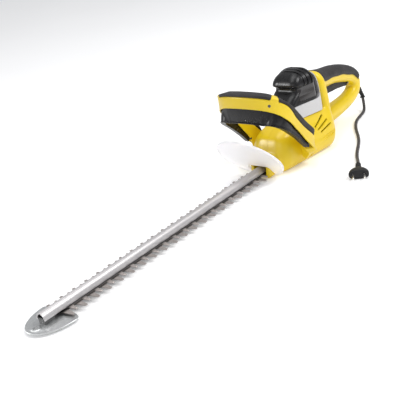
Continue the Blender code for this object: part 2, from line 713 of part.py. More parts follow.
def blade_bolts(looks):
    crown = BAR_Z + BAR_HEIGHT - BAR_SHEET - 0.6
    for index, x in enumerate(BOLT_XS, 1):
        steps = ((5.2, 2.6), (5.6, 3.6), (7.6, 4.4), (7.7, BOLT_R), (crown, BOLT_R))
        bolt = disc_stack(f"blade_bolt_{index}", (x, 0.0), steps, looks["dark_steel"], 20)
        smooth_by_angle(bolt)


def tip_pieces(looks):
    rear, front = PLATE_X
    turns = [math.pi * (k / 20 - 0.5) for k in range(21)]
    outline = [(rear + (front - rear) * math.cos(t), PLATE_HALF * math.sin(t)) for t in turns]
    outline += [(rear - 5.0, PLATE_HALF - 4.0), (rear - 8.0, PLATE_HALF - 12.0)]
    outline += [(rear - 8.0, 12.0 - PLATE_HALF), (rear - 5.0, 4.0 - PLATE_HALF)]
    plate = prism("tip_plate", outline, PLATE_Z[0], PLATE_Z[1], looks["bar"])
    combine(plate, disc_stack("hole", (684.5, 0.0), ((0.0, 4.2), (9.0, 4.2)), None, 24))
    smooth_by_angle(plate)
    block_x = (BLADE_END_X + 8.0 + STROKE - STROKE_REST + 5.0, BAR_X[1] - 0.6)
    half = BAR_HALF - BAR_SHEET - 0.5
    spacer = box("tip_spacer", block_x, (-half, half), (PLATE_Z[1] + GAP, BAR_Z + 3.0), looks["dark_steel"])
    up = (0.0, 0.0, 1.0)
    for piece in (plate, spacer):
        drill(piece, (TIP_SCREW_X, 0.0, 0.0), up, 12.0, SCREW_R + GAP)
    screw("tip_screw", (TIP_SCREW_X, 0.0, PLATE_Z[0] - GAP), up, 8.0, looks["dark_steel"])
    return plate, spacer


# ---------------------------------------------------------------- gears and motor

def toothed_outline(centre, teeth, phase, slack=0.16):
    """Straight flanked teeth of module one."""
    pitch_r = MODULE * teeth / 2
    outer, root = pitch_r + 0.9 * MODULE, pitch_r - 1.15 * MODULE
    step = 2 * math.pi / teeth
    half_pitch = step / 4 - slack / pitch_r
    lean = math.tan(math.radians(20.0))
    half_tip = half_pitch - 0.9 * MODULE * lean / pitch_r
    half_root = half_pitch + 1.15 * MODULE * lean / pitch_r
    points = []
    for k in range(teeth):
        middle = phase + k * step
        for radius, turn in ((root, -half_root), (outer, -half_tip), (outer, half_tip), (root, half_root)):
            x, y = math.cos(middle + turn), math.sin(middle + turn)
            points.append((centre[0] + radius * x, centre[1] + radius * y))
    return points


def gear_pieces(looks):
    steel = looks["dark_steel"]
    pivot = (SPINDLE_X, 0.0, GEAR_Z[0])
    centre = (SPINDLE_X, 0.0)
    phase = math.pi + math.pi / GEAR_TEETH
    gear = prism("gear_wheel", toothed_outline(centre, GEAR_TEETH, phase), *GEAR_Z, steel, "Z", pivot)
    combine(gear, disc_stack("bore", centre, ((10.0, 4.2), (30.0, 4.2))))
    spindle = disc_stack("gear_spindle", centre, SPINDLE_STEPS, steel, 24, pivot)
    smooth_by_angle(spindle)
    rest_turn = math.acos(-STROKE_REST / STROKE)
    for name, z, sign in (("eccentric_upper", UPPER_Z, 1), ("eccentric_lower", LOWER_Z, -1)):
        x = SPINDLE_X + sign * STROKE * math.cos(rest_turn)
        y = sign * STROKE * math.sin(rest_turn)
        cam_z = (z[0] + 0.1, z[1] - 0.1) if sign < 0 else (z[0] - 0.1, z[1] + 0.6)
        steps = ((cam_z[0], ECCENTRIC_R), (cam_z[1], ECCENTRIC_R))
        cam = disc_stack(name, (x, y), steps, looks["steel"], 32, pivot)
        bore_r = SPINDLE_PIN_R + GAP
        combine(cam, disc_stack("bore", centre, ((0.0, bore_r), (30.0, bore_r)), None, 24))
        smooth_by_angle(cam)


def gear_case(looks):
    """Cast plate that carries the spindle, the shaft's lower bearing and the root of the bar."""
    levels = [(z, -32.0, 94.0, 30.0, 22.0, 8.0) for z in (25.5, 31.5)]
    case = level_loft("gear_case", levels, 0.0, looks["bar"])
    for x, y in BASE_SCREWS:
        low = BOSS_TOP + GAP
        combine(case, disc_stack("leg", (x, y), ((low, BOSS_R), (26.5, BOSS_R)), None, 14), "UNION")
        drill(case, (x, y, 2.0), (0.0, 0.0, 1.0), 17.0, SCREW_R + GAP, 12)
    combine(case, disc_stack("shaft_way", (0.0, 0.0), ((20.0, 6.0), (40.0, 6.0))))
    combine(case, disc_stack("spindle_way", (SPINDLE_X, 0.0), ((20.0, 3.6), (40.0, 3.6))))
    smooth_by_angle(case)
    return case


def motor_pieces(looks):
    axis = (0.0, 0.0)
    pivot = (0.0, 0.0, 15.0)
    steel = looks["dark_steel"]
    pinion_z = (GEAR_Z[0], GEAR_Z[1] + 1.0)
    pinion = prism("pinion", toothed_outline(axis, PINION_TEETH, 0.0), *pinion_z, steel, "Z", pivot)
    bore = SHAFT_R + GAP
    combine(pinion, disc_stack("bore", axis, ((10.0, bore), (30.0, bore)), None, 20))
    steps = ((13.0, SHAFT_R - GAP), (13.3, SHAFT_R), (147.0, SHAFT_R), (147.3, SHAFT_R - GAP))
    disc_stack("motor_shaft", axis, steps, looks["steel"], 20, pivot)
    rotor = ring_solid("armature", axis, bore, ROTOR_R, STACK_Z, looks["laminate"], 32)
    commutator = ring_solid("commutator", axis, bore, COMMUTATOR_R, COMMUTATOR_Z, looks["copper"], 28)
    fan = fan_wheel(looks)
    for piece in (rotor, commutator, fan):
        move_origin(piece, pivot)
        smooth_by_angle(piece)
    stack = [(z, -20.5, 20.5, 28.0, 28.0, 12.0) for z in STACK_Z]
    stator = level_loft("stator", stack, 0.0, looks["laminate"])
    combine(stator, disc_stack("bore", axis, ((50.0, ROTOR_R + 0.8), (110.0, ROTOR_R + 0.8)), None, 32))
    smooth_by_angle(stator)
    for name, z in (("bearing_lower", (33.0, 41.0)), ("bearing_upper", (134.0, 142.0))):
        smooth_by_angle(ring_solid(name, axis, bore, BEARING_R, z, looks["steel"], 24))
    for name, side in (("brush_holder_left", 1), ("brush_holder_right", -1)):
        near, far = sorted((side * (COMMUTATOR_R + 0.7), side * FAN_R))
        box(name, (-4.5, 4.5), (near, far), (COMMUTATOR_Z[0] + 2.0, COMMUTATOR_Z[1] - 2.0), looks["brass"])


def fan_wheel(looks):
    """Cooling fan: a disc with radial blades."""
    fan = ring_solid("fan", (0.0, 0.0), SHAFT_R + GAP, FAN_R, (FAN_Z[0], FAN_Z[0] + 2.0), looks["nylon"], 32)
    for k in range(8):
        turn = 2 * math.pi * k / 8
        along = Vector((math.cos(turn), math.sin(turn), 0.0))
        side = Vector((-along.y, along.x, 0.0)) * 0.8
        near, far = along * 6.0, along * (FAN_R - 1.0)
        corners = [near + side, far + side, far - side, near - side]
        combine(fan, prism("fin", [(p.x, p.y) for p in corners], FAN_Z[0] + 1.0, FAN_Z[1]), "UNION")
    return fan


def move_origin(obj, pivot):
    shift = Vector(pivot) * MM
    for vertex in obj.data.vertices:
        vertex.co -= shift
    obj.location = shift


# ---------------------------------------------------------------- trigger, switches and springs

def rear_trigger(looks):
    low = [(-88.0, 85.0), (-96.0, 82.5), (-117.0, 81.0), (-145.0, 79.5), (-168.0, 76.5), (-184.0, 74.0)]
    top = [(-186.5, 84.0), (-180.0, 88.0), (-150.0, 96.5), (-120.0, 100.5), (-90.0, 102.0)]
    pivot = (TRIGGER_PIVOT[0], 0.0, TRIGGER_PIVOT[1])
    trigger = prism("rear_trigger", low + top, -TRIGGER_HALF, TRIGGER_HALF, looks["grip"], "Y", pivot)
    start, along = (pivot[0], -11.0, pivot[2]), (0.0, 1.0, 0.0)
    drill(trigger, start, along, 22.0, PIVOT_R + GAP)
    pivot_pin("trigger_pivot", start, along, 22.0, looks["dark_steel"])
    spring("trigger_spring", (TRIGGER_SPRING_X, 0.0), TRIGGER_SPRING_Z, 6, looks["steel"])
    smooth_by_angle(trigger)
    return trigger


def inner_pieces(looks):
    box("rear_switch", (-138.0, -104.0), (-7.5, 7.5), (111.0, 121.0), looks["cover"])
    box("front_switch", (30.0, 52.0), (-31.0, -24.0), (36.0, 52.0), looks["cover"])
    box("capacitor", (-48.0, -36.0), (-9.0, 9.0), (36.0, 56.0), looks["nylon"])


def spring(name, centre, z, turns, mat, count=8):
    """Compression spring as a closed helical wire."""
    rings = []
    steps = turns * count
    for k in range(steps + 1):
        turn = 2 * math.pi * k / count
        height = z[0] + SPRING_WIRE_R + (z[1] - z[0] - 2 * SPRING_WIRE_R) * k / steps
        out = Vector((math.cos(turn), math.sin(turn), 0.0))
        middle = Vector((centre[0], centre[1], height)) + out * SPRING_R
        ring = []
        for j in range(5):
            around = 2 * math.pi * j / 5
            offset = out * math.cos(around) + Vector((0.0, 0.0, math.sin(around)))
            ring.append(tuple(middle + offset * SPRING_WIRE_R))
        rings.append(ring)
    coil = loft(name, rings, mat)
    smooth_by_angle(coil, 60.0)
    return coil


# ---------------------------------------------------------------- cord, gland and plug

def power_cord(looks):
    curve = bpy.data.curves.new("power_cord", "CURVE")
    curve.dimensions = "3D"
    curve.bevel_depth = CORD_R * MM
    curve.bevel_resolution = 3
    curve.use_fill_caps = True
    path = even_path(smooth_path(CORD_ROUTE, 4), 5.5)
    spline = curve.splines.new("POLY")
    spline.points.add(len(path) - 1)
    for point, place in zip(spline.points, path):
        point.co = (*(place * MM), 1.0)
    curve.materials.append(looks["cord"])
    cord = bpy.data.objects.new("power_cord", curve)
    bpy.context.scene.collection.objects.link(cord)
    return path


def even_path(points, spacing):
    """Points at even distances along a path, ends kept."""
    points = [Vector(point) for point in points]
    lengths = [0.0]
    for before, after in zip(points, points[1:]):
        lengths.append(lengths[-1] + (after - before).length)
    count = max(round(lengths[-1] / spacing), 1)
    result = []
    segment = 0
    for k in range(count + 1):
        want = lengths[-1] * k / count
        while segment < len(points) - 2 and lengths[segment + 1] < want:
            segment += 1
        share = (want - lengths[segment]) / (lengths[segment + 1] - lengths[segment])
        result.append(points[segment].lerp(points[segment + 1], share))
    return result


def gland_and_plug(looks, path):
    rubber = looks["cover"]
    start = path[0]
    out = (path[0] - path[1]).normalized()
    stations = smooth_path(GLAND_ROUTE, 3)
    stations += [(*(start + out * distance), radius) for distance, radius in GLAND_FLANGE]
    gland = tube("cord_gland", stations, rubber)
    combine(gland, housing_solid(GAP, False))
    smooth_by_angle(gland)
    end, along = path[-1], (path[-1] - path[-2]).normalized()
    along.z = 0.0
    along.normalize()
    plug_pieces(looks, end + along * GAP, along)


def plug_pieces(looks, start, along):
    """Flat two pin plug lying on the floor."""
    side = Vector((-along.y, along.x, 0.0))
    up = Vector((0.0, 0.0, 1.0))
    stations = (
        (0.0, 4.6, 4.6), (22.0, 5.6, 5.4), (26.0, 9.0, 6.5), (34.0, 15.0, 8.0), (44.0, 17.6, 8.6),
        (46.0, 17.0, 8.2),
    )
    rings = []
    for distance, half, tall in stations:
        middle = start + along * distance
        ring = []
        for k in range(20):
            turn = 2 * math.pi * k / 20
            c, s = math.cos(turn), math.sin(turn)
            across = math.copysign(abs(c) ** 0.7, c) * half
            upward = math.copysign(abs(s) ** 0.7, s) * tall
            ring.append(tuple(middle + side * across + up * upward))
        rings.append(ring)
    body = loft("plug_body", rings, looks["cover"])
    smooth_by_angle(body)
    for index, offset in enumerate((-9.5, 9.5), 1):
        root = start + along * (46.0 + GAP) + side * offset
        steps = ((0.0, 2.0), (16.5, 2.0), (18.4, 1.7), (19.0, 1.3))
        smooth_by_angle(turned(f"plug_pin_{index}", root, along, steps, looks["brass"], 20))


def main():
    clear_scene()
    looks = finish_look()
    make_housings(looks)
    base_cover(looks)
    make_cover(looks)
    make_collar(looks)
    front_handle(looks)
    soft_strip("crossbar_grip", 26, 46, looks["grip"])
    soft_strip("leg_grip_left", 51, 65, looks["grip"], -1.0)
    soft_strip("leg_grip_right", 51, 65, looks["grip"])
    front_switch_bar(looks)
    rear_grip(looks["grip"])
    housing_screws(looks)
    hand_guard(looks)
    blade("lower_blade", LOWER_Z, LOWER_REACH, 8.0, 2.6, 0.0, STROKE_REST, looks["steel"])
    blade("upper_blade", UPPER_Z, UPPER_REACH, 7.0, 2.2, -2 * STROKE_REST, -STROKE_REST, looks["steel"])
    guide_bar(looks)
    blade_bolts(looks)
    tip_pieces(looks)
    gear_pieces(looks)
    gear_case(looks)
    motor_pieces(looks)
    rear_trigger(looks)
    inner_pieces(looks)
    gland_and_plug(looks, power_cord(looks))


main()
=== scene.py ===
import math

import bmesh
import bpy
from mathutils import Matrix, Vector
from mathutils.bvhtree import BVHTree


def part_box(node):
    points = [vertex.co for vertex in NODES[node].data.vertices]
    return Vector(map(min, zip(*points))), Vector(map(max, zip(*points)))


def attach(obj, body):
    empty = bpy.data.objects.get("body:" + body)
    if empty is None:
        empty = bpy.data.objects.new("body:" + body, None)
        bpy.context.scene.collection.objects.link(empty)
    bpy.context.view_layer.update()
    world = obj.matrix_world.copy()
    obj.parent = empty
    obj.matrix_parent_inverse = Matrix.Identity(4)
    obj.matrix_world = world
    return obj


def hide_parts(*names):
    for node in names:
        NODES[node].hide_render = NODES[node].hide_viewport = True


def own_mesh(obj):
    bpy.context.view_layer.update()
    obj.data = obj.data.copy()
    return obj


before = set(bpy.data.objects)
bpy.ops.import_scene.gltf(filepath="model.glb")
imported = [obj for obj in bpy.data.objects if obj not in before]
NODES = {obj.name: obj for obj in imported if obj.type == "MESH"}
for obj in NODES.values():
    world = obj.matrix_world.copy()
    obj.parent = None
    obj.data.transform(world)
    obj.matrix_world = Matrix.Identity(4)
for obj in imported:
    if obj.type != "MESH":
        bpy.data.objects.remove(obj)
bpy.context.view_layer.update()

# Corded hedge trimmer: the looks. Sizes are in millimetres in the CAD's own frame:
# +X forward along the blades, +Y to the left, +Z up, origin on the flat base under the motor shaft.
MM = 0.001
LEFT = Vector((0.0, 1.0, 0.0))
UP = Vector((0.0, 0.0, 1.0))

CAMERA_PLACE = (1.21619, 0.82528, 0.55069)
CAMERA_RIGHT = (-0.6123514, 0.7732393, -0.164702)
CAMERA_DOWN = (0.4034006, 0.1264321, -0.9062466)
CAMERA_FORWARD = (-0.6799219, -0.6213823, -0.389346)
CAMERA_LENS = 72.0
CAMERA_SENSOR = 36.0

# Driving sizes, most of them the CAD's own.
GAP = 0.3
WALL = 3.0
PITCH = 25.0
TEETH = 20
FIRST_TOOTH_X = 638.0
STROKE_REST = 5.5
STROKE = 6.2
SPINDLE_X = 27.0
ECCENTRIC_R = 10.0
LOWER_Z = (8.0, 10.0)
UPPER_Z = (10.3, 12.3)
SPINE_HALF = 11.0
ROOT_HALF = 21.0
ROOT_REACH = 28.0             # half length of a blade's wide root
ROOT_SLOPE = 8.0
NOSE_X = 139.0                # front of the nose's lower lip, ahead of the CAD's
BOLT_XS = (205.0, 345.0, 485.0, 610.0)
BOLT_R = 2.0
LOWER_REACH = 28.0
UPPER_REACH = 23.3
LOWER_TOOTH = (4.8, 2.3)      # half width at a tooth's root and at its tip
UPPER_TOOTH = (4.3, 2.0)
BLADE_WAY_Y = (-13.5, 13.5)   # room for the blades through nose and guard
BLADE_WAY_Z = (5.0, 26.5)
BLADE_END_X = 641.0
TIP_SCREW_X = 663.5
SCREW_HEAD_R = 3.5
SCREW_R = 1.6
SCREW_RECESS = 6.0
SCREW_REACH = 11.0            # how far a case screw passes the parting plane
HOUSING_SCREWS = ((-45.0, 112.0, 41.0), (-225.0, 70.0, 15.0), (-140.0, 38.0, 17.0))
PIVOT_R = 2.0
SPRING_R = 3.0
SPRING_WIRE_R = 0.5
TRIGGER_PIVOT = (-181.0, 80.5)
BAR_X = (66.0, 673.0)
BAR_HALF = 8.5
BAR_Z = 12.6
BAR_HEIGHT = 11.2
BAR_SHEET = 1.6
PLATE_X = (640.0, 697.0)
PLATE_HALF = 37.0
PLATE_Z = (4.0, 6.0)
HANG_HOLE_X = 684.5
HANG_HOLE_R = 4.2
GUARD_CENTRE = (163.0, 0.0, 48.5)
GUARD_R = 63.0
GUARD_LEAN = math.radians(41.0)
GUARD_THICK = 3.0
NOSE_WAY = ((-24.5, -20.0), (24.5, -20.0), (24.5, 27.5), (-24.5, 27.5))    # its opening, y and z

# Body outline, one row per level: z, rear x, front x, rear half width, front half width, corner radius.
BODY_LEVELS = (
    (0.0, -44.0, 106.0, 40.0, 27.0, 15.0),
    (3.0, -49.0, 111.0, 46.0, 32.0, 18.0),
    (12.0, -53.0, 115.0, 53.0, 38.0, 22.0),
    (28.0, -56.0, 114.0, 57.0, 42.0, 25.0),
    (48.0, -56.0, 109.0, 56.0, 40.0, 25.0),
    (62.0, -56.0, 102.0, 52.0, 35.0, 22.0),
    (70.0, -56.0, 92.0, 48.0, 29.0, 18.0),
    (75.0, -56.0, 78.0, 45.0, 26.0, 16.0),
    (79.0, -56.0, 66.0, 43.0, 27.0, 15.0),
)
BASE_ROOM = (-36.0, 98.0, 33.0, 21.0, 9.0)    # the room behind the base cover, as in a level but without z
SPINE_LEVELS = (
    (70.0, -56.0, -34.0, 45.0, 45.0, 9.0),
    (100.0, -56.0, -34.0, 42.0, 42.0, 9.0),
    (128.0, -55.0, -34.0, 38.0, 38.0, 9.0),
    (142.0, -51.5, -34.0, 30.0, 30.0, 8.0),
    (147.0, -46.0, -34.0, 21.0, 21.0, 5.0),
)
COVER_LEVELS = (
    (79.3, -24.0, 63.0, 36.0, 26.0, 14.0),
    (104.7, -24.0, 60.0, 36.0, 26.0, 14.0),
    (106.5, -24.0, 57.0, 41.0, 27.0, 16.0),
    (118.0, -24.0, 44.0, 40.5, 28.0, 16.0),
    (128.0, -24.0, 30.0, 39.5, 29.0, 16.0),
    (136.0, -24.0, 29.0, 38.5, 29.0, 16.0),
    (138.5, -24.0, 35.0, 38.5, 30.0, 15.0),
    (146.0, -24.0, 33.0, 37.0, 29.0, 15.0),
    (153.0, -22.0, 27.0, 33.0, 26.0, 14.0),
    (158.0, -20.0, 19.0, 27.0, 21.0, 12.0),
    (161.5, -18.5, 10.0, 20.0, 15.0, 9.0),
    (163.0, -16.0, 1.0, 13.0, 10.0, 6.0),
)
COLLAR_LEVELS = (
    (79.3, -33.7, 58.0, 43.0, 28.0, 14.0),
    (104.7, -33.7, 56.0, 42.0, 28.0, 14.0),
    (128.0, -33.7, 40.0, 38.5, 30.0, 12.0),
    (143.0, -33.7, 40.0, 34.0, 30.0, 12.0),
    (149.0, -33.7, 40.0, 28.0, 26.0, 12.0),
)
VENTS = 3
VENT_START = (16.0, 56.5)     # x and z of the top slot's front end
VENT_STEP = (5.5, 6.5)        # how much further back and lower each next one starts
VENT_RUN = (33.0, 14.0)       # how far the top slot runs back and up
VENT_HALF = 1.7
GROOVE_STEPS = 14
NOTCH_CORNERS = ((48.0, 15.0), (58.5, 15.0), (60.5, 20.0), (50.0, 20.0))      # x and z
PANEL_CORNERS = ((-19.0, 110.0), (29.0, 110.0), (25.0, 133.5), (-19.0, 137.5))
HOOD_SLOTS = (-19.0, -10.0, -1.0, 8.0)
HOOD_WALL = 2.5
BROW_Z = 128.0                # from this height up, the hood's inner room ends behind BROW_X
BROW_X = 29.0

# Rear D handle: centre line in the XZ plane with half height and half width at each point.
REAR_PATH = (
    (-40.0, 122.0, 24.0, 28.0), (-62.0, 118.0, 21.0, 23.0), (-95.0, 114.0, 18.0, 18.0),
    (-135.0, 110.0, 17.0, 16.5), (-172.0, 101.0, 17.0, 16.0), (-203.0, 88.5, 15.5, 15.5),
    (-219.0, 71.0, 14.0, 15.0), (-212.0, 53.0, 14.0, 15.0), (-184.0, 42.5, 14.5, 15.5),
    (-140.0, 38.0, 15.5, 17.0), (-100.0, 36.5, 16.0, 20.0), (-62.0, 36.0, 18.0, 26.0),
    (-40.0, 36.0, 20.0, 30.0),
)
GRIP_THICK = 3.0

# Front handle: centre line from the left foot over the crossbar to its middle; mirrored to the right.
FRONT_HALF_PATH = (
    (56.0, 44.0, 22.0), (58.0, 57.0, 37.0), (68.0, 63.0, 55.0), (88.0, 64.0, 80.0),
    (108.0, 64.0, 104.0), (128.0, 63.0, 127.0), (143.0, 56.0, 143.0), (153.0, 40.0, 151.0),
    (158.0, 18.0, 154.0), (159.0, 0.0, 154.5),
)
FINE = 6                      # front handle sections here per section of the CAD
CORE_HALF = 9.5
CORE_UP = (-12.0, 9.0)
CHANNEL_HALF = 7.5
CHANNEL_TOP = 1.0
STRIP_TOP = 14.5
RIB_PLACE = 25.3              # place on the path where a rib stands up between two strips
STRIPS = (                    # name, first and last place on the path, the CAD node
    ("crossbar_strip", 26.17, 45.83, "crossbar_grip"),
    ("leg_strip_left", 5.5, 24.33, "leg_grip_left"),
    ("leg_strip_right", 47.67, 66.5, "leg_grip_right"),
)
HANDLE_BORE = (54.7, 16.6)    # distance from the middle plane and length of the pivot's hole
BAR_BORE = (55.0, 16.0)
SWITCH_BAR_HALF = 5.2
SWITCH_BAR_FIRST = 8          # place on the path where its arms begin
SWITCH_PIVOT = (80.0, 0.0, 51.0)
SWITCH_BAR_DROP = ((0.0, 5.0), (0.18, 9.0), (0.36, 16.0), (0.52, 24.0), (0.68, 29.0), (1.0, 29.0))

GLAND_ROUTE = (
    (-221.0, 0.0, 64.0, 5.2), (-232.0, 0.0, 58.5, 5.0), (-240.5, 0.8, 49.0, 4.7), (-245.0, 2.2, 38.0, 4.4),
)
# Distance back from the gland's end, and radius.
GLAND_FLANGE = ((6.5, 4.1), (3.3, 4.0), (3.1, 5.6), (0.9, 5.6), (GAP, 4.6))
# Plug body behind its neck: distance from the cord, half width, half height.
PLUG_SHELL = (
    (22.0, 5.6, 5.4), (25.0, 7.6, 6.0), (29.0, 12.0, 7.2),
    (34.0, 15.2, 8.0), (40.0, 17.2, 8.5), (44.0, 17.6, 8.6),
)
NECK_HALF = 4.6
CORD_R = 3.1
CORD_ROUTE = (
    (-246.0, 5.0, 26.5), (-243.4, 7.4, 18.3), (-238.6, 10.6, 11.4), (-231.9, 13.8, 6.4), (-224.3, 16.4, 3.8),
    (-215.6, 18.4, 3.3), (-206.8, 20.3, 3.3), (-198.0, 22.2, 3.3), (-189.2, 24.1, 3.3), (-180.4, 26.1, 3.3),
    (-172.2, 28.5, 3.3), (-163.7, 31.4, 3.3), (-155.5, 35.0, 3.3), (-147.4, 39.0, 3.3), (-139.5, 43.3, 3.3),
    (-131.7, 47.7, 3.3), (-124.0, 52.4, 3.3), (-116.8, 57.0, 3.3), (-109.3, 61.9, 3.3), (-101.8, 67.0, 3.3),
    (-94.4, 72.0, 3.3), (-86.8, 76.9, 3.3), (-79.2, 81.6, 3.3), (-71.8, 85.9, 3.3), (-64.0, 90.2, 3.3),
    (-55.9, 94.3, 3.3), (-47.8, 98.2, 3.3), (-39.6, 102.0, 3.3), (-31.4, 105.6, 3.3), (-23.2, 109.3, 3.3),
    (-15.5, 112.9, 3.3), (-7.4, 116.8, 3.3), (0.6, 120.9, 3.3), (8.5, 125.3, 3.3), (16.2, 129.9, 3.6),
    (23.8, 134.6, 4.6), (31.0, 139.0, 6.0), (38.6, 143.6, 7.5), (46.3, 148.1, 8.6), (54.1, 152.5, 9.0),
)


# ---------------------------------------------------------------- camera, lights and floor

def make_camera():
    data = bpy.data.cameras.new("camera")
    data.lens = CAMERA_LENS
    data.sensor_width = CAMERA_SENSOR
    data.clip_start = 0.01
    data.clip_end = 20.0
    camera = bpy.data.objects.new("camera", data)
    right, up, back = Vector(CAMERA_RIGHT), -Vector(CAMERA_DOWN), -Vector(CAMERA_FORWARD)
    turn = Matrix((right, up, back)).transposed().to_4x4()
    camera.matrix_world = Matrix.Translation(CAMERA_PLACE) @ turn
    bpy.context.scene.collection.objects.link(camera)
    bpy.context.scene.camera = camera


def area_light(name, place, target, size, energy):
    data = bpy.data.lights.new(name, "AREA")
    data.shape = "RECTANGLE"
    data.size, data.size_y = size
    data.energy = energy
    light = bpy.data.objects.new(name, data)
    away = Vector(place) - Vector(target)
    turn = away.to_track_quat("Z", "Y").to_matrix().to_4x4()
    light.matrix_world = Matrix.Translation(place) @ turn
    bpy.context.scene.collection.objects.link(light)
    return light


def make_studio():
    scene = bpy.context.scene
    scene.view_settings.view_transform = "Standard"
    world = bpy.data.worlds.new("studio")
    world.use_nodes = True
    background = world.node_tree.nodes["Background"]
    background.inputs["Color"].default_value = (0.96, 0.97, 1.0, 1.0)
    background.inputs["Strength"].default_value = 0.52
    scene.world = world
    area_light("key", (-0.5, 1.5, 1.9), (0.05, 0.0, 0.08), (1.1, 1.1), 33.0)
    area_light("front", (1.9, 0.4, 1.1), (0.1, 0.0, 0.08), (1.3, 0.9), 4.5)
    sheen = area_light("sheen", (1.15, -1.0, 0.75), (0.03, 0.0, 0.14), (0.55, 0.55), 14.0)
    sheen.visible_diffuse = False    # it only adds a highlight to glossy pieces
    area_light("top", (0.25, -0.3, 2.2), (0.25, 0.0, 0.0), (2.0, 1.0), 19.0)
    mesh = bpy.data.meshes.new("floor")
    reach = 8.0
    corners = [(-reach, -reach, 0.0), (reach, -reach, 0.0), (reach, reach, 0.0), (-reach, reach, 0.0)]
    mesh.from_pydata(corners, [], [(0, 1, 2, 3)])
    floor = bpy.data.objects.new("floor", mesh)
    mesh.materials.append(plain_floor())
    scene.collection.objects.link(floor)


# ---------------------------------------------------------------- materials

class Look:
    """A Principled material with helpers that add procedural detail in object space, in metres."""

    def __init__(self, name, roughness=0.4, metallic=0.0, **sockets):
        self.material = bpy.data.materials.new(name)
        self.material.use_nodes = True
        self.tree = self.material.node_tree
        self.shader = self.tree.nodes["Principled BSDF"]
        self.shader.inputs["Roughness"].default_value = roughness
        self.shader.inputs["Metallic"].default_value = metallic
        for socket, value in sockets.items():
            self.shader.inputs[socket.replace("_", " ")].default_value = value
        self.place = self.tree.nodes.new("ShaderNodeTexCoord").outputs["Object"]
        self.normal = None

    def join(self, out, socket):
        self.tree.links.new(out, socket)

    def stretched(self, scale):
        mapping = self.tree.nodes.new("ShaderNodeMapping")
        mapping.inputs["Scale"].default_value = scale
        self.join(self.place, mapping.inputs["Vector"])
        return mapping.outputs["Vector"]

    def noise(self, scale, detail=3.0, source=None):
        node = self.tree.nodes.new("ShaderNodeTexNoise")
        node.inputs["Scale"].default_value = scale
        node.inputs["Detail"].default_value = detail
        node.inputs["Roughness"].default_value = 0.55
        self.join(source or self.place, node.inputs["Vector"])
        return node.outputs["Fac"]

    def cells(self, scale):
        node = self.tree.nodes.new("ShaderNodeTexVoronoi")
        node.inputs["Scale"].default_value = scale
        self.join(self.place, node.inputs["Vector"])
        return node.outputs["Distance"]

    def waves(self, scale, direction):
        node = self.tree.nodes.new("ShaderNodeTexWave")
        node.bands_direction = direction
        node.inputs["Scale"].default_value = scale
        self.join(self.place, node.inputs["Vector"])
        return node.outputs["Fac"]

    def ramp(self, value, low, high):
        """Maps a value from the middle of its range onto low..high."""
        node = self.tree.nodes.new("ShaderNodeMapRange")
        node.inputs["From Min"].default_value = 0.3
        node.inputs["From Max"].default_value = 0.7
        node.inputs["To Min"].default_value = low
        node.inputs["To Max"].default_value = high
        self.join(value, node.inputs["Value"])
        return node.outputs["Result"]

    def colours(self, value, *stops):
        """Base colour from a value through (position, rgb) stops."""
        node = self.tree.nodes.new("ShaderNodeValToRGB")
        ramp = node.color_ramp
        for element, (position, rgb) in zip(ramp.elements, (stops[0], stops[-1])):
            element.position = position
            element.color = (*rgb, 1.0)
        for position, rgb in stops[1:-1]:
            ramp.elements.new(position).color = (*rgb, 1.0)
        self.join(value, node.inputs["Fac"])
        self.join(node.outputs["Color"], self.shader.inputs["Base Color"])

    def rough(self, value, low, high):
        self.join(self.ramp(value, low, high), self.shader.inputs["Roughness"])

    def bump(self, value, depth):
        """Adds a bump of the given depth in millimetres on top of earlier ones."""
        node = self.tree.nodes.new("ShaderNodeBump")
        node.inputs["Strength"].default_value = 1.0
        node.inputs["Distance"].default_value = depth * MM
        self.join(value, node.inputs["Height"])
        if self.normal:
            self.join(self.normal, node.inputs["Normal"])
        self.normal = node.outputs["Normal"]
        self.join(self.normal, self.shader.inputs["Normal"])


def plain_floor():
    look = Look("floor_paper", 0.9, Emission_Strength=0.2, Emission_Color=(1.0, 1.0, 1.0, 1.0))
    look.colours(look.noise(3.0), (0.3, (0.90, 0.90, 0.90)), (0.7, (0.92, 0.92, 0.92)))
    look.bump(look.noise(400.0), 0.05)
    return look.material


def yellow_plastic():
    look = Look("yellow_plastic", 0.34, Coat_Weight=0.12, Coat_Roughness=0.16, Specular_IOR_Level=0.45)
    look.colours(look.noise(14.0, 2.0), (0.30, (0.74, 0.525, 0.006)), (0.55, (0.77, 0.555, 0.008)),
                 (0.75, (0.79, 0.575, 0.012)))
    look.rough(look.noise(90.0, 4.0), 0.29, 0.40)
    look.bump(look.noise(1400.0, 2.0), 0.02)
    look.bump(look.noise(110.0, 1.0), 0.012)
    return look.material


def black_gloss():
    look = Look("black_gloss", 0.3, Specular_IOR_Level=0.36)
    look.colours(look.noise(30.0), (0.3, (0.004, 0.004, 0.0045)), (0.7, (0.009, 0.008, 0.009)))
    look.rough(look.noise(160.0, 4.0), 0.24, 0.36)
    look.bump(look.noise(1600.0, 2.0), 0.02)
    return look.material


def plate_gloss():
    look = Look("plate_gloss", 0.12, Specular_IOR_Level=0.6, Coat_Weight=0.3, Coat_Roughness=0.06)
    look.colours(look.noise(40.0), (0.3, (0.010, 0.008, 0.008)), (0.7, (0.020, 0.016, 0.015)))
    look.rough(look.noise(220.0, 4.0), 0.10, 0.18)
    look.bump(look.noise(900.0, 2.0), 0.01)
    return look.material


def black_matt():
    look = Look("black_matt", 0.5, Specular_IOR_Level=0.3)
    look.colours(look.noise(60.0), (0.3, (0.008, 0.008, 0.009)), (0.7, (0.016, 0.015, 0.016)))
    look.rough(look.noise(300.0, 3.0), 0.44, 0.58)
    look.bump(look.cells(1500.0), 0.06)
    return look.material


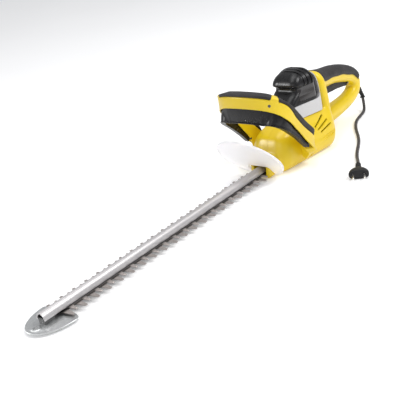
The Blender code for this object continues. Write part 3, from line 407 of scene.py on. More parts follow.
def soft_grip():
    look = Look("soft_grip", 0.6, Specular_IOR_Level=0.3, Sheen_Weight=0.04)
    look.colours(look.noise(45.0, 4.0), (0.3, (0.016, 0.0145, 0.015)), (0.7, (0.032, 0.028, 0.029)))
    look.rough(look.noise(240.0, 3.0), 0.52, 0.68)
    look.bump(look.cells(900.0), 0.12)
    look.bump(look.noise(2200.0, 2.0), 0.04)
    return look.material


def silver_paint():
    look = Look("silver_paint", 0.34, 0.45, Coat_Weight=0.2, Coat_Roughness=0.2)
    look.colours(look.cells(2600.0), (0.1, (0.47, 0.465, 0.47)), (0.6, (0.57, 0.565, 0.57)))
    look.rough(look.noise(200.0, 3.0), 0.28, 0.40)
    look.bump(look.noise(1500.0, 2.0), 0.02)
    return look.material


def brushed(name, dark, light, low, high, metallic, across=2600.0, along=26.0):
    """Metal with fine lines along X."""
    look = Look(name, 0.35, metallic)
    lines = look.noise(1.0, 3.0, look.stretched((along, across, across)))
    look.colours(lines, (0.3, dark), (0.7, light))
    look.rough(lines, low, high)
    look.bump(lines, 0.02)
    look.bump(look.noise(70.0, 2.0), 0.02)
    return look.material


def turned_metal(name, dark, light, low, high, metallic=0.95):
    look = Look(name, 0.35, metallic)
    grain = look.noise(1.0, 3.0, look.stretched((600.0, 600.0, 5200.0)))
    look.colours(grain, (0.3, dark), (0.7, light))
    look.rough(grain, low, high)
    look.bump(grain, 0.02)
    return look.material


def laminate():
    look = Look("motor_laminate", 0.45, 0.85)
    sheets = look.waves(1000.0, "Z")
    look.colours(sheets, (0.2, (0.13, 0.13, 0.14)), (0.8, (0.30, 0.30, 0.31)))
    look.rough(look.noise(300.0), 0.38, 0.52)
    look.bump(sheets, 0.1)
    return look.material


def copper():
    look = Look("copper_bars", 0.3, 0.95)
    look.colours(look.noise(500.0, 3.0), (0.3, (0.52, 0.22, 0.10)), (0.7, (0.74, 0.38, 0.20)))
    look.rough(look.noise(900.0), 0.24, 0.42)
    look.bump(look.waves(700.0, "X"), 0.1)
    return look.material


def nylon():
    look = Look("natural_nylon", 0.45, Subsurface_Weight=0.1)
    look.colours(look.noise(80.0), (0.3, (0.66, 0.64, 0.59)), (0.7, (0.76, 0.74, 0.70)))
    look.rough(look.noise(300.0), 0.38, 0.52)
    look.bump(look.noise(1200.0), 0.04)
    return look.material


def cord_sheath():
    look = Look("cord_sheath", 0.55, Specular_IOR_Level=0.4)
    look.colours(look.noise(70.0, 4.0), (0.3, (0.034, 0.031, 0.033)), (0.7, (0.060, 0.055, 0.057)))
    look.rough(look.noise(420.0, 3.0), 0.46, 0.62)
    look.bump(look.noise(1800.0, 3.0), 0.05)
    return look.material


def clear_plastic():
    # The faint emission is painted light: it makes the milky guard glow brighter than the lamps alone light
    # it.
    look = Look("clear_plastic", 0.3, Transmission_Weight=0.6, Subsurface_Weight=0.9, Subsurface_Scale=0.02,
                Subsurface_Radius=(1.0, 1.0, 1.0), IOR=1.3, Specular_IOR_Level=0.5, Emission_Strength=0.10,
                Emission_Color=(0.97, 0.95, 1.0, 1.0))
    look.colours(look.noise(20.0), (0.3, (0.955, 0.945, 0.975)), (0.7, (0.985, 0.98, 0.995)))
    look.rough(look.noise(160.0, 3.0), 0.28, 0.38)
    look.bump(look.noise(220.0, 2.0), 0.03)
    return look.material


def blade_steel():
    """Brownish ground steel, darkened along its middle with painted shade where the bar shades the blades.
    """
    look = Look("blade_steel", 0.5, 0.7)
    lines = look.noise(1.0, 3.0, look.stretched((26.0, 2600.0, 2600.0)))
    # Painted shade: the colour is dark within 10.5 mm of the middle and fades out by 15 mm, under and beside
    # the bar.
    split = look.tree.nodes.new("ShaderNodeSeparateXYZ")
    look.join(look.place, split.inputs["Vector"])
    away = look.tree.nodes.new("ShaderNodeMath")
    away.operation = "ABSOLUTE"
    look.join(split.outputs["Y"], away.inputs[0])
    reach = look.tree.nodes.new("ShaderNodeMapRange")
    reach.inputs["From Min"].default_value = 0.0105
    reach.inputs["From Max"].default_value = 0.0150
    look.join(away.outputs["Value"], reach.inputs["Value"])
    shade = look.tree.nodes.new("ShaderNodeMath")
    shade.operation = "MULTIPLY"
    look.join(reach.outputs["Result"], shade.inputs[0])
    look.join(look.ramp(lines, 0.6, 1.0), shade.inputs[1])
    look.colours(shade.outputs["Value"], (0.0, (0.035, 0.032, 0.031)), (0.6, (0.28, 0.25, 0.235)),
                 (1.0, (0.44, 0.405, 0.385)))
    look.rough(lines, 0.42, 0.56)
    look.bump(lines, 0.02)
    return look.material


LOOKS = {
    "housing": yellow_plastic(),
    "cover": black_gloss(),
    "plate": plate_gloss(),
    "black": black_matt(),
    "grip": soft_grip(),
    "collar": silver_paint(),
    "clear": clear_plastic(),
    "blade": blade_steel(),
    "bar": brushed("satin_bar", (0.47, 0.455, 0.455), (0.58, 0.565, 0.565), 0.36, 0.48, 0.8),
    "plate_steel": brushed("tip_steel", (0.46, 0.47, 0.47), (0.60, 0.61, 0.61), 0.34, 0.48, 0.85,
                           across=500.0, along=300.0),
    "dark": turned_metal("dark_steel", (0.06, 0.06, 0.06), (0.14, 0.14, 0.14), 0.34, 0.48, 0.8),
    "bright": turned_metal("bright_steel", (0.50, 0.50, 0.50), (0.66, 0.66, 0.66), 0.22, 0.36),
    "laminate": laminate(),
    "copper": copper(),
    "nylon": nylon(),
    "cord": cord_sheath(),
    "pin": turned_metal("nickel_pin", (0.62, 0.60, 0.56), (0.80, 0.78, 0.74), 0.18, 0.30),
}

# The CAD nodes that are shown as they are. No other piece replaces them.
CAD_LOOKS = {
    "black": ("rear_switch", "front_switch", "base_cover"),
    "grip": ("rear_trigger",),
    "bar": ("gear_case",),
    "dark": ("tip_spacer", "tip_screw", "gear_wheel", "gear_spindle", "pinion", "trigger_pivot",
             "bar_pivot_left", "bar_pivot_right"),
    "bright": ("motor_shaft", "eccentric_upper", "eccentric_lower", "bearing_lower", "bearing_upper"),
    "laminate": ("armature", "stator"),
    "copper": ("commutator",),
    "nylon": ("fan", "capacitor"),
    "pin": ("brush_holder_left", "brush_holder_right", "plug_pin_1", "plug_pin_2"),
}
NUMBERED = {"blade_bolt": 4, "base_screw": 4, "housing_screw": 3}


def dress_cad():
    """Gives each carried-over CAD node its material."""
    for look, names in CAD_LOOKS.items():
        for name in names:
            paint(NODES[name], LOOKS[look])
    for stem, count in NUMBERED.items():
        for index in range(1, count + 1):
            paint(NODES[f"{stem}_{index}"], LOOKS["dark"])


def paint(obj, material):
    obj.data.materials.clear()
    obj.data.materials.append(material)


# ---------------------------------------------------------------- pieces

def smooth_path(points, steps):
    """Catmull-Rom curve through points of any dimension."""
    rows = [points[0], *points, points[-1]]
    result = []
    for k in range(1, len(rows) - 2):
        for step in range(steps):
            t = step / steps
            result.append(tuple(
                0.5 * (2 * b + (c - a) * t + (2 * a - 5 * b + 4 * c - d) * t * t
                       + (3 * b - a - 3 * c + d) * t ** 3)
                for a, b, c, d in zip(rows[k - 1], rows[k], rows[k + 1], rows[k + 2])
            ))
    result.append(tuple(points[-1]))
    return result


def smooth_levels(levels):
    """Fine levels that run smoothly through the given ones."""
    return smooth_path(levels, 4)


def inner_levels(levels, wall):
    """The levels moved inwards by a wall's thickness."""
    return [
        (z, rear + wall, front - wall, rear_half - wall, front_half - wall, radius - wall)
        for z, rear, front, rear_half, front_half, radius in levels
    ]


def build(name, verts, faces):
    mesh = bpy.data.meshes.new(name)
    mesh.from_pydata([Vector(v) * MM for v in verts], [], faces)
    shaped = bmesh.new()
    shaped.from_mesh(mesh)
    bmesh.ops.recalc_face_normals(shaped, faces=shaped.faces)
    shaped.to_mesh(mesh)
    shaped.free()
    piece = bpy.data.objects.new(name, mesh)
    bpy.context.scene.collection.objects.link(piece)
    return piece


def applied(piece, kind, **values):
    """The piece with one modifier worked into its mesh."""
    modifier = piece.modifiers.new(kind.lower(), kind)
    for key, value in values.items():
        setattr(modifier, key, value)
    bpy.context.view_layer.update()
    evaluated = piece.evaluated_get(bpy.context.evaluated_depsgraph_get())
    piece.data, old = bpy.data.meshes.new_from_object(evaluated), piece.data
    bpy.data.meshes.remove(old)
    piece.modifiers.clear()
    return piece


def combine(piece, tool, operation="DIFFERENCE", keep_tool=False):
    applied(piece, "BOOLEAN", object=tool, operation=operation, solver="MANIFOLD")
    if not keep_tool:
        bpy.data.objects.remove(tool, do_unlink=True)
    return piece


def join(name, pieces):
    """One object out of several, as a copy of their meshes."""
    joined = bmesh.new()
    for piece in pieces:
        joined.from_mesh(piece.data)
        bpy.data.objects.remove(piece, do_unlink=True)
    mesh = bpy.data.meshes.new(name)
    joined.to_mesh(mesh)
    joined.free()
    body = bpy.data.objects.new(name, mesh)
    bpy.context.scene.collection.objects.link(body)
    return body


def soften(piece, voxel, rounds):
    """Melts overlapping bodies into one skin and rounds its corners."""
    applied(piece, "REMESH", mode="VOXEL", voxel_size=voxel * MM)
    return applied(piece, "SMOOTH", factor=0.5, iterations=rounds)


def settle(piece, look, body, nodes, degrees=35.0):
    """Shades a finished piece and hands it to the frame."""
    mesh = piece.data
    mesh.materials.clear()
    mesh.materials.append(LOOKS[look])
    mesh.polygons.foreach_set("material_index", [0] * len(mesh.polygons))
    mesh.polygons.foreach_set("use_smooth", [True] * len(mesh.polygons))
    mesh.set_sharp_from_angle(angle=math.radians(degrees))
    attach(piece, body)
    if nodes:
        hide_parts(*nodes)
    return piece


def loft(name, rings):
    """Closed body through rings that have the same number of points."""
    count = len(rings[0])
    verts = [point for ring in rings for point in ring]
    faces = []
    for row in range(len(rings) - 1):
        for col in range(count):
            after = (col + 1) % count
            near, far = row * count, (row + 1) * count
            faces.append((near + col, near + after, far + after, far + col))
    faces.append(tuple(range(count)))
    faces.append(tuple(range((len(rings) - 1) * count, len(rings) * count)))
    return build(name, verts, faces)


def prism(name, outline, low, high, axis="Z"):
    def place(a, b, c):
        return {"X": (c, a, b), "Y": (a, c, b), "Z": (a, b, c)}[axis]
    return loft(name, [[place(a, b, c) for a, b in outline] for c in (low, high)])


def box(name, x, y, z):
    return prism(name, ((x[0], y[0]), (x[1], y[0]), (x[1], y[1]), (x[0], y[1])), z[0], z[1])


def rounded(outline, radius, steps=4):
    """The outline with each corner turned into an arc, or less where an edge is short."""
    result = []
    for k, corner in enumerate(outline):
        corner = Vector(corner)
        before = Vector(outline[k - 1]) - corner
        after = Vector(outline[(k + 1) % len(outline)]) - corner
        back = min(radius, 0.45 * before.length, 0.45 * after.length)
        start, end = corner + before.normalized() * back, corner + after.normalized() * back
        for step in range(steps + 1):
            t = step / steps
            result.append(tuple(start.lerp(corner, t).lerp(corner.lerp(end, t), t)))
    return result


def circle(centre, side, other, radius, count):
    """Points of a circle in the plane of two unit vectors."""
    turns = [2 * math.pi * k / count for k in range(count)]
    return [tuple(centre + (side * math.cos(t) + other * math.sin(t)) * radius) for t in turns]


def turned(name, start, direction, steps, count=32):
    """Turned piece from (distance along the axis, radius) steps."""
    start, direction = Vector(start), Vector(direction).normalized()
    side = direction.orthogonal().normalized()
    other = direction.cross(side)
    return loft(name, [
        circle(start + direction * distance, side, other, radius, count) for distance, radius in steps
    ])


def tube(name, stations, count=28):
    """Round body along (x, y, z, radius) stations."""
    centres = [Vector(station[:3]) for station in stations]
    rings = []
    for centre, along, station in zip(centres, tangents(centres), stations):
        side = along.cross(LEFT).normalized()
        rings.append(circle(centre, side, along.cross(side).normalized(), station[3], count))
    return loft(name, rings)


def drill(piece, start, direction, length, radius):
    return combine(piece, turned("hole", start, direction, ((0.0, radius), (length, radius)), 28))


def tangents(path):
    last = len(path) - 1
    return [(path[min(k + 1, last)] - path[max(k - 1, 0)]).normalized() for k in range(last + 1)]


def plan_ring(level, grow):
    """A tapered, round cornered plan outline at one level."""
    arc = 10
    z, rear, front, rear_half, front_half, radius = level
    rear, front = rear - grow, front + grow
    rear_half, front_half, radius = rear_half + grow, front_half + grow, max(radius + grow, 1.0)
    corners = (
        (front - radius, front_half - radius, 0.0), (rear + radius, rear_half - radius, 0.5),
        (rear + radius, radius - rear_half, 1.0), (front - radius, radius - front_half, 1.5),
    )
    points = []
    for x, y, quarter in corners:
        for k in range(arc + 1):
            turn = math.pi * (quarter + 0.5 * k / arc)
            points.append((x + radius * math.cos(turn), y + radius * math.sin(turn), z))
    return points


def level_loft(name, levels, grow=0.0, extend=0.0):
    rings = [plan_ring(level, grow) for level in levels]
    rings[0] = [(x, y, z - extend) for x, y, z in rings[0]]
    rings[-1] = [(x, y, z + extend) for x, y, z in rings[-1]]
    return loft(name, rings)


# ---------------------------------------------------------------- housing and rear handle

def rear_frames(steps=8):
    path = smooth_path(REAR_PATH, steps)
    centres = [Vector((x, 0.0, z)) for x, z, _, _ in path]
    return [
        (centre, Vector((-t.z, 0.0, t.x)) * -1.0, height, width)
        for centre, t, (_, _, height, width) in zip(centres, tangents(centres), path)
    ]


def oval_point(section, turn, grow):
    """Point of the rear handle's oval section, grown outwards."""
    centre, outward, height, width = section
    c, s = math.cos(turn), math.sin(turn)
    across = math.copysign(abs(c) ** 0.8, c) * (width + grow)
    upward = math.copysign(abs(s) ** 0.8, s) * (height + grow)
    return tuple(centre + outward * upward + Vector((0.0, across, 0.0)))


def rear_ring(section, grow, count=40):
    return [oval_point(section, 2 * math.pi * k / count, grow) for k in range(count)]


def guard_x(z, offset):
    """Where the guard's middle plane is at a height, moved along its normal."""
    middle = GUARD_CENTRE[0] + (z - GUARD_CENTRE[2]) * math.tan(GUARD_LEAN)
    return middle + offset / math.cos(GUARD_LEAN)


def snout():
    """Nose that carries the guard; its lower lip reaches forward under the guard around the blades."""
    back = -GUARD_THICK / 2 - GAP
    low, high, half = 1.5, 35.0, 23.0
    chamfer = 5.0
    outline = ((90.0, low), (NOSE_X, low), (NOSE_X + 2.0, 9.0), (NOSE_X, 25.0), (guard_x(28.0, back), 28.0),
               (guard_x(high, back), high), (90.0, high + 4.0))
    rings = []
    for y, cut in ((-half, chamfer), (-half + chamfer, 0.0), (half - chamfer, 0.0), (half, chamfer)):
        rings.append([
            (x - (cut if x > 100 else 0), y, z + (cut if z < 10 else -cut)) for x, z in outline
        ])
    return loft("snout", rings)


def housing_blank():
    """The outer skin of both shells as one solid, its parts flowing into each other."""
    body = join("housing", [
        level_loft("body", smooth_levels(BODY_LEVELS)), level_loft("spine", smooth_levels(SPINE_LEVELS)),
        loft("loop", [rear_ring(section, -0.3) for section in rear_frames()]), snout(),
    ])
    return soften(body, 1.9, 9)


def surface_point(tree, x, z, side):
    """Point on the side wall at x and z."""
    place, _, _, _ = tree.ray_cast(Vector((x, side * 150.0, z)) * MM, Vector((0.0, -side, 0.0)))
    return place / MM


def housing_grooves(body):
    """Two long curved grooves low on each side."""
    tree = BVHTree.FromObject(body, bpy.context.evaluated_depsgraph_get())
    for side in (-1, 1):
        for lift in (0.0, 7.0):
            stations = []
            for k in range(GROOVE_STEPS + 1):
                t = k / GROOVE_STEPS
                x = 2.0 - 50.0 * t
                z = 25.0 + lift + 7.5 * math.sin(0.5 * math.pi * t) - 5.0 * lift / 7.0 * t
                stations.append((*surface_point(tree, x, z, side), 0.8 + 0.9 * math.sin(math.pi * t)))
            combine(body, tube("groove", stations, 12))


def vent_cutter(side, index):
    """One slanted cooling slot through a side wall, its ends round."""
    low = Vector((VENT_START[0] - VENT_STEP[0] * index, 0.0, VENT_START[1] - VENT_STEP[1] * index))
    along = Vector((-VENT_RUN[0], 0.0, VENT_RUN[1] - 3.0 * index))
    across = Vector((-along.z, 0.0, along.x)).normalized() * VENT_HALF
    outline = [low + across, low - across, low + along - across, low + along + across]
    return prism("vent", rounded([(p.x, p.z) for p in outline], 1.6), side * 38.0, side * 62.0, "Y")


def foot_notch(side):
    """Small dark slot low beside each foot of the front handle."""
    low, high = sorted((side * 38.0, side * 75.0))
    return prism("notch", rounded(NOTCH_CORNERS, 1.4), low, high, "Y")


def hollow_out(body):
    """Cuts the inner room, the openings and the screw holes out of the shells."""
    inner = inner_levels(BODY_LEVELS, WALL)
    inner[0], inner[1] = (-1.0, *BASE_ROOM), (3.0, *BASE_ROOM)
    inner[-1] = (80.0, -30.0, 58.0, 33.0, 22.0, 10.0)
    combine(body, level_loft("cavity", inner, GAP, 1.0))
    combine(body, box("blade_way", (60.0, 170.0), BLADE_WAY_Y, BLADE_WAY_Z))
    combine(body, box("trigger_way", (-188.0, -84.0), (-6.8, 6.8), (70.0, 109.0)))
    combine(body, box("switch_pocket", (-140.0, -66.0), (-9.0, 9.0), (100.0, 122.0)))
    for side in (-1, 1):
        for index in range(VENTS):
            combine(body, vent_cutter(side, index))
        combine(body, foot_notch(side))
    for x, z, half in HOUSING_SCREWS:
        drill(body, (x, -half - 20.0, z), LEFT, 20.0 + SCREW_RECESS, SCREW_HEAD_R + 0.7)
        drill(body, (x, -half, z), LEFT, half + SCREW_REACH, SCREW_R + GAP)
    drill(body, (TRIGGER_PIVOT[0], -12.0, TRIGGER_PIVOT[1]), LEFT, 24.0, PIVOT_R + GAP)


def housings(blank):
    body = copy_of(blank, "shells")
    housing_grooves(body)
    hollow_out(body)
    for name, side in (("shell_left", 1), ("shell_right", -1)):
        half = copy_of(body, name)
        low, high = sorted((side * GAP / 2, side * 120.0))
        combine(half, box("side", (-400.0, 300.0), (low, high), (-50.0, 250.0)), "INTERSECT")
        settle(half, "housing", "main", ("housing_left" if side > 0 else "housing_right",))
    bpy.data.objects.remove(body, do_unlink=True)


def copy_of(piece, name):
    twin = bpy.data.objects.new(name, piece.data.copy())
    bpy.context.scene.collection.objects.link(twin)
    return twin


def rear_soft_grip():
    """Soft cover over the top of the rear handle, its long edges gently waved."""
    frames = rear_frames(9)[9:52]    # from under the spine to the rear bend
    count = 24
    last = len(frames) - 1
    rings = []
    for index, section in enumerate(frames):
        end = min(index, last - index) / 3.0
        thick = GRIP_THICK if end >= 1.0 else 0.6 + (GRIP_THICK - 0.6) * math.sqrt(end * (2.0 - end))
        wave = 0.014 * math.sin(index * 0.62)
        outer, inner = [], []
        for k in range(count + 1):
            turn = wave + (math.pi - 2 * wave) * k / count
            rim = min(k, count - k) / 2.0
            swell = thick if rim >= 1.0 else 0.9 + (thick - 0.9) * math.sqrt(rim * (2.0 - rim))
            outer.append(oval_point(section, turn, max(swell, 0.5)))
            inner.append(oval_point(section, turn, GAP))
        rings.append(outer + inner[::-1])
    grip = loft("rear_soft_grip", rings)
    settle(grip, "grip", "main", ("rear_grip",), 50.0)


# ---------------------------------------------------------------- motor cover and collar

def panel_block(name, side, shrink, skin_grow):
    """Rounded block over the side panel, cut away below the given offset of the hood's skin."""
    low, high = sorted((side * 20.0, side * 50.0))
    outline = rounded(inset(PANEL_CORNERS, shrink), 4.0, 6)
    cutter = prism(name, outline, low, high, "Y")
    return combine(cutter, level_loft("skin", smooth_levels(COVER_LEVELS), skin_grow))


def side_plates():
    """Plain glossy plates that lie in the hood's side recesses."""
    for name, side in (("plate_left", 1), ("plate_right", -1)):
        plate = panel_block(name, side, 0.5, -1.5)
        combine(plate, level_loft("skin", smooth_levels(COVER_LEVELS), -0.9), "INTERSECT")
        settle(plate, "plate", "main", ())


def motor_hood():
    """Hollow hood with slots over its roof, which open into it near the middle."""
    hood = soften(level_loft("hood", smooth_levels(COVER_LEVELS)), 1.1, 5)
    for side in (-1, 1):
        combine(hood, panel_block("panel", side, 0.0, -1.6))
    skin = level_loft("skin", smooth_levels(COVER_LEVELS), -1.7)
    lean, width, foot, top = 3.0, 3.2, 136.0, 170.0
    for x in HOOD_SLOTS:
        corners = ((x + lean, foot), (x + lean + width, foot), (x + width, top), (x, top))
        slot = prism("slot", rounded(corners, 1.4), -60.0, 60.0, "Y")
        combine(hood, combine(slot, skin, keep_tool=True))
    bpy.data.objects.remove(skin, do_unlink=True)
    inner = [
        (z - HOOD_WALL, rear, front if z < BROW_Z else min(front, BROW_X - HOOD_WALL), *sizes)
        for z, rear, front, *sizes in inner_levels(COVER_LEVELS, HOOD_WALL)
    ]
    inner[0] = (78.0, *inner[0][1:])
    combine(hood, level_loft("cavity", inner))
    for x in HOOD_SLOTS:
        combine(hood, box("vent", (x + 0.9, x + width), (-20.0, 20.0), (152.0, top)))
    settle(hood, "cover", "main", ("motor_cover",), 40.0)
    side_plates()


def silver_collar():
    """Low band round the hood that rises behind it, with a round inner corner in side view."""
    collar = level_loft("silver_collar", smooth_levels(COLLAR_LEVELS))
    rear, front, top, bend = -40.0, 70.0, 104.5, 12.0
    bend_x, bend_z = -12.0, top + bend
    outline = [(rear, 70.0), (front, 70.0), (front, top), (bend_x, top)]
    turns = [math.pi * k / 24 for k in range(1, 13)]
    outline += [(bend_x - bend * math.sin(t), bend_z - bend * math.cos(t)) for t in turns]
    outline += [(bend_x - bend, 160.0), (rear, 160.0)]
    combine(collar, prism("side_view", outline, -60.0, 60.0, "Y"), "INTERSECT")
    combine(collar, level_loft("room", smooth_levels(COVER_LEVELS), GAP, 3.0))
    settle(collar, "collar", "main", ("collar",))


# ---------------------------------------------------------------- front handle

def front_frames():
    left = list(FRONT_HALF_PATH)
    full = left + [(x, -y, z) for x, y, z in reversed(left[:-1])]
    path = [Vector(point) for point in smooth_path(full, 4 * FINE)]
    frames = []
    for centre, along in zip(path, tangents(path)):
        outward = UP.cross(along).normalized()
        frames.append((centre, outward, along.cross(outward).normalized()))
    return frames


def front_ring(section, outline):
    centre, outward, upward = section
    return [tuple(centre + outward * a + upward * b) for a, b in outline]


def ease(value):
    value = min(max(value, 0.0), 1.0)
    return value * value * (3.0 - 2.0 * value)


def foot_swell(place):
    """How much thicker the legs are towards their feet."""
    return 7.0 * ease((14.0 - place) / 8.0)


def seat_line(place):
    """Outer and inner height of the seam between loop and strips; it slants down the legs' outer side."""
    slant = ease((RIB_PLACE - 4.0 - place) / 5.0) * ease((place - 4.5) / 3.0)
    swell = foot_swell(place)
    return CORE_UP[1] + swell - 6.0 * slant, CORE_UP[1] + swell


def loop_handle(frames, blank):
    """Channel section loop with solid feet; its ribs rise between the soft strips."""
    last = len(frames) - 1
    rings = []
    for index, section in enumerate(frames):
        place = min(index, last - index) / FINE
        rise = ease(3.6 - 3.2 * abs(place - RIB_PLACE))
        foot = ease((7.5 - place) / 4.0)
        outer_top, inner_top = seat_line(place)
        lift = (STRIP_TOP - 0.2 - CORE_UP[1]) * max(rise, 0.9 * foot)
        half, low = CORE_HALF, CORE_UP[0]
        shoulder = ((half, low), (half, outer_top + lift), (-half, inner_top + lift), (-half, low))
        roof = CHANNEL_TOP - (CHANNEL_TOP - low - 0.4) * ease((6.5 - place) / 1.0)
        outer = [(half - 0.7, low), (half, low + 0.7)] + rounded(shoulder, 3.0, 5)[6:18]
        outer += [(-half, low + 0.7), (0.7 - half, low)]
        inner = [(-CHANNEL_HALF, low), (-CHANNEL_HALF, roof), (CHANNEL_HALF, roof), (CHANNEL_HALF, low)]
        rings.append(front_ring(section, outer + inner))
    handle = loft("loop_handle", rings)
    combine(handle, blank, keep_tool=True)
    x, _, z = SWITCH_PIVOT
    for side in (1.0, -1.0):
        drill(handle, (x, side * HANDLE_BORE[0], z), (0.0, side, 0.0), HANDLE_BORE[1], PIVOT_R + GAP)
        combine(handle, foot_notch(side))
    settle(handle, "housing", "main", ("front_handle",), 40.0)


def soft_strip(frames, name, first, last, node):
    """Soft cover on the loop between two places, blunt beside a rib and tapered at a foot."""
    count = (len(frames) - 1) / FINE
    places = [first + (last - first) * k / 60 for k in range(61)]
    rings = []
    for place in places:
        section = frames[round(place * FINE)]
        near = min(place, count - place)
        outer_low, inner_low = seat_line(near)
        tail = ease((near - 5.4) / 3.0)
        end = min(place - first, last - place) / 0.5
        swell = tail * (1.0 if end >= 1.0 else 0.82 + 0.18 * math.sqrt(end * (2.0 - end)))
        half = CORE_HALF - 0.3 - 3.0 * (1.0 - tail)
        top = CORE_UP[1] + foot_swell(near) + 0.8 + (STRIP_TOP - CORE_UP[1] - 0.8) * swell
        outline = ((half, outer_low + 0.1), (half, top), (-half, top), (-half, inner_low + 0.1))
        rings.append(front_ring(section, rounded(outline, 2.6, 5)))
    settle(loft(name, rings), "grip", "main", (node,), 50.0)


def bar_drop(along):
    for (near, low), (far, high) in zip(SWITCH_BAR_DROP, SWITCH_BAR_DROP[1:]):
        if along <= far:
            return low + (high - low) * (along - near) / (far - near)
    return SWITCH_BAR_DROP[-1][1]


def squeeze_bar(frames):
    """Switch panel under the crossbar, bowed outwards, with a thin rolled lower lip."""
    used = frames[SWITCH_BAR_FIRST * FINE:len(frames) - SWITCH_BAR_FIRST * FINE]
    middle = (len(used) - 1) / 2
    rings = []
    for index, section in enumerate(used):
        along = 1.0 - abs(index - middle) / middle
        shifts = (-0.06, -0.03, 0.0, 0.03, 0.06)
        spread = [bar_drop(min(max(along + shift, 0.0), 1.0)) for shift in shifts]
        low = CORE_UP[0] - sum(spread) / len(spread)
        top, half = CORE_UP[0] + 2.5, SWITCH_BAR_HALF
        tall = top - low
        face = []
        for k in range(11):
            bow = 0.9 * math.sin(math.pi * k / 10) * min(tall / 25.0, 1.0)
            face.append((half + bow, top - 2.5 - (tall - 6.0) * k / 10))
        lip = [(half - 0.7, low + 3.1), (half + 0.9, low + 2.4), (half + 1.1, low + 1.2),
               (half + 0.3, low + 0.2), (half - 1.5, low)]
        back = [(1.0 - half, low), (-half, low + 1.5), (-half, top), (half, top)]
        rings.append(front_ring(section, face + lip + back))
    bar = loft("squeeze_bar", rings)
    x, _, z = SWITCH_PIVOT
    for side in (1.0, -1.0):
        drill(bar, (x, side * BAR_BORE[0], z), (0.0, side, 0.0), BAR_BORE[1], PIVOT_R + GAP)
    settle(bar, "cover", "front_switch_bar", ("front_switch_bar",), 40.0)


def coil_spring(name, x, z, turns, node):
    """Coil spring on a vertical axis, wound evenly between two heights."""
    per_turn, around = 28, 10
    rings = []
    for k in range(turns * per_turn + 1):
        turn = 2 * math.pi * k / per_turn
        out = Vector((math.cos(turn), math.sin(turn), 0.0))
        height = z[0] + SPRING_WIRE_R + (z[1] - z[0] - 2 * SPRING_WIRE_R) * k / (turns * per_turn)
        centre = Vector((x, 0.0, height)) + out * SPRING_R
        rings.append(circle(centre, out, UP, SPRING_WIRE_R, around))
    coil = settle(loft(name, rings), "bright", "main", (node,), 60.0)
    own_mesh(coil)


def press_springs():
    low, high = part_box("bar_spring")
    coil_spring("press_bar_spring", (low[0] + high[0]) / 2 / MM, (low[2] / MM, high[2] / MM), 3,
                "bar_spring")
    low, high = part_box("trigger_spring")
    centre = (low[0] + high[0]) / 2 / MM
    coil_spring("press_trigger_spring", centre, (low[2] / MM, high[2] / MM), 6,
                "trigger_spring")


def loop_screw(frames):
    """Small screw cap on the front of the crossbar."""
    centre, outward, upward = frames[26 * FINE + 1]
    start = centre + outward * (CORE_HALF - 0.6) - upward * 1.0
    steps = ((0.0, 2.6), (0.9, 2.6), (1.2, 2.2), (1.2, 1.2), (0.8, 1.1))
    settle(turned("loop_screw_cap", start, outward, steps, 24), "dark", "main", ())


# ---------------------------------------------------------------- guard

def clear_guard():
    """Leaning round guard with a bead along its rim, open for the blades and the nose."""
    normal = Vector((math.cos(GUARD_LEAN), 0.0, -math.sin(GUARD_LEAN)))
    half = GUARD_THICK / 2
    steps = [(-half, GUARD_R - 0.9), (-half + 0.3, GUARD_R - 0.2), (-half + 0.9, GUARD_R), (half, GUARD_R)]
    steps += [(half + 0.8, GUARD_R - 0.2), (half + 1.4, GUARD_R - 0.8), (half + 1.6, GUARD_R - 1.6),
              (half + 1.3, GUARD_R - 2.4), (half + 0.3, GUARD_R - 3.2), (half, GUARD_R - 4.2)]
    guard = turned("clear_guard", GUARD_CENTRE, normal, steps, 160)
    combine(guard, box("blade_slot", (60.0, 200.0), BLADE_WAY_Y, BLADE_WAY_Z))
    combine(guard, prism("nose_way", rounded(NOSE_WAY, 7.0, 8), 60.0, 200.0, "X"))
    combine(guard, box("floor_cut", (0.0, 300.0), (-90.0, 90.0), (-20.0, 1.5)))
    settle(guard, "clear", "main", ("hand_guard",), 40.0)


# ---------------------------------------------------------------- blades, bar and tip

def blade_outline(reach, tooth, shift, root_x):
    """Outline of one toothed blade, tip first along the left side and back along the right."""
    base, tip = tooth
    left = []
    for k in range(TEETH):
        x = FIRST_TOOTH_X + shift - PITCH * k
        left += [(x + base, SPINE_HALF), (x + tip, reach), (x - tip, reach), (x - base, SPINE_HALF)]
    left += [(root_x + ROOT_REACH + ROOT_SLOPE, SPINE_HALF), (root_x + ROOT_REACH, ROOT_HALF),
             (root_x - ROOT_REACH, ROOT_HALF)]
    nose = [(BLADE_END_X + shift + 8.0, -5.0), (BLADE_END_X + shift + 8.0, 5.0)]
    return nose + left + [(x, -y) for x, y in reversed(left)]


def inset(outline, distance):
    """The outline moved inwards; it runs anticlockwise."""
    result = []
    for k, corner in enumerate(outline):
        corner = Vector(corner)
        before = (corner - Vector(outline[k - 1])).normalized()
        after = (Vector(outline[(k + 1) % len(outline)]) - corner).normalized()
        inward = Vector((-before.y, before.x)) + Vector((-after.y, after.x))
        scale = distance / max(inward.length_squared / 2, 0.6)
        result.append(tuple(corner + inward * scale))
    return result


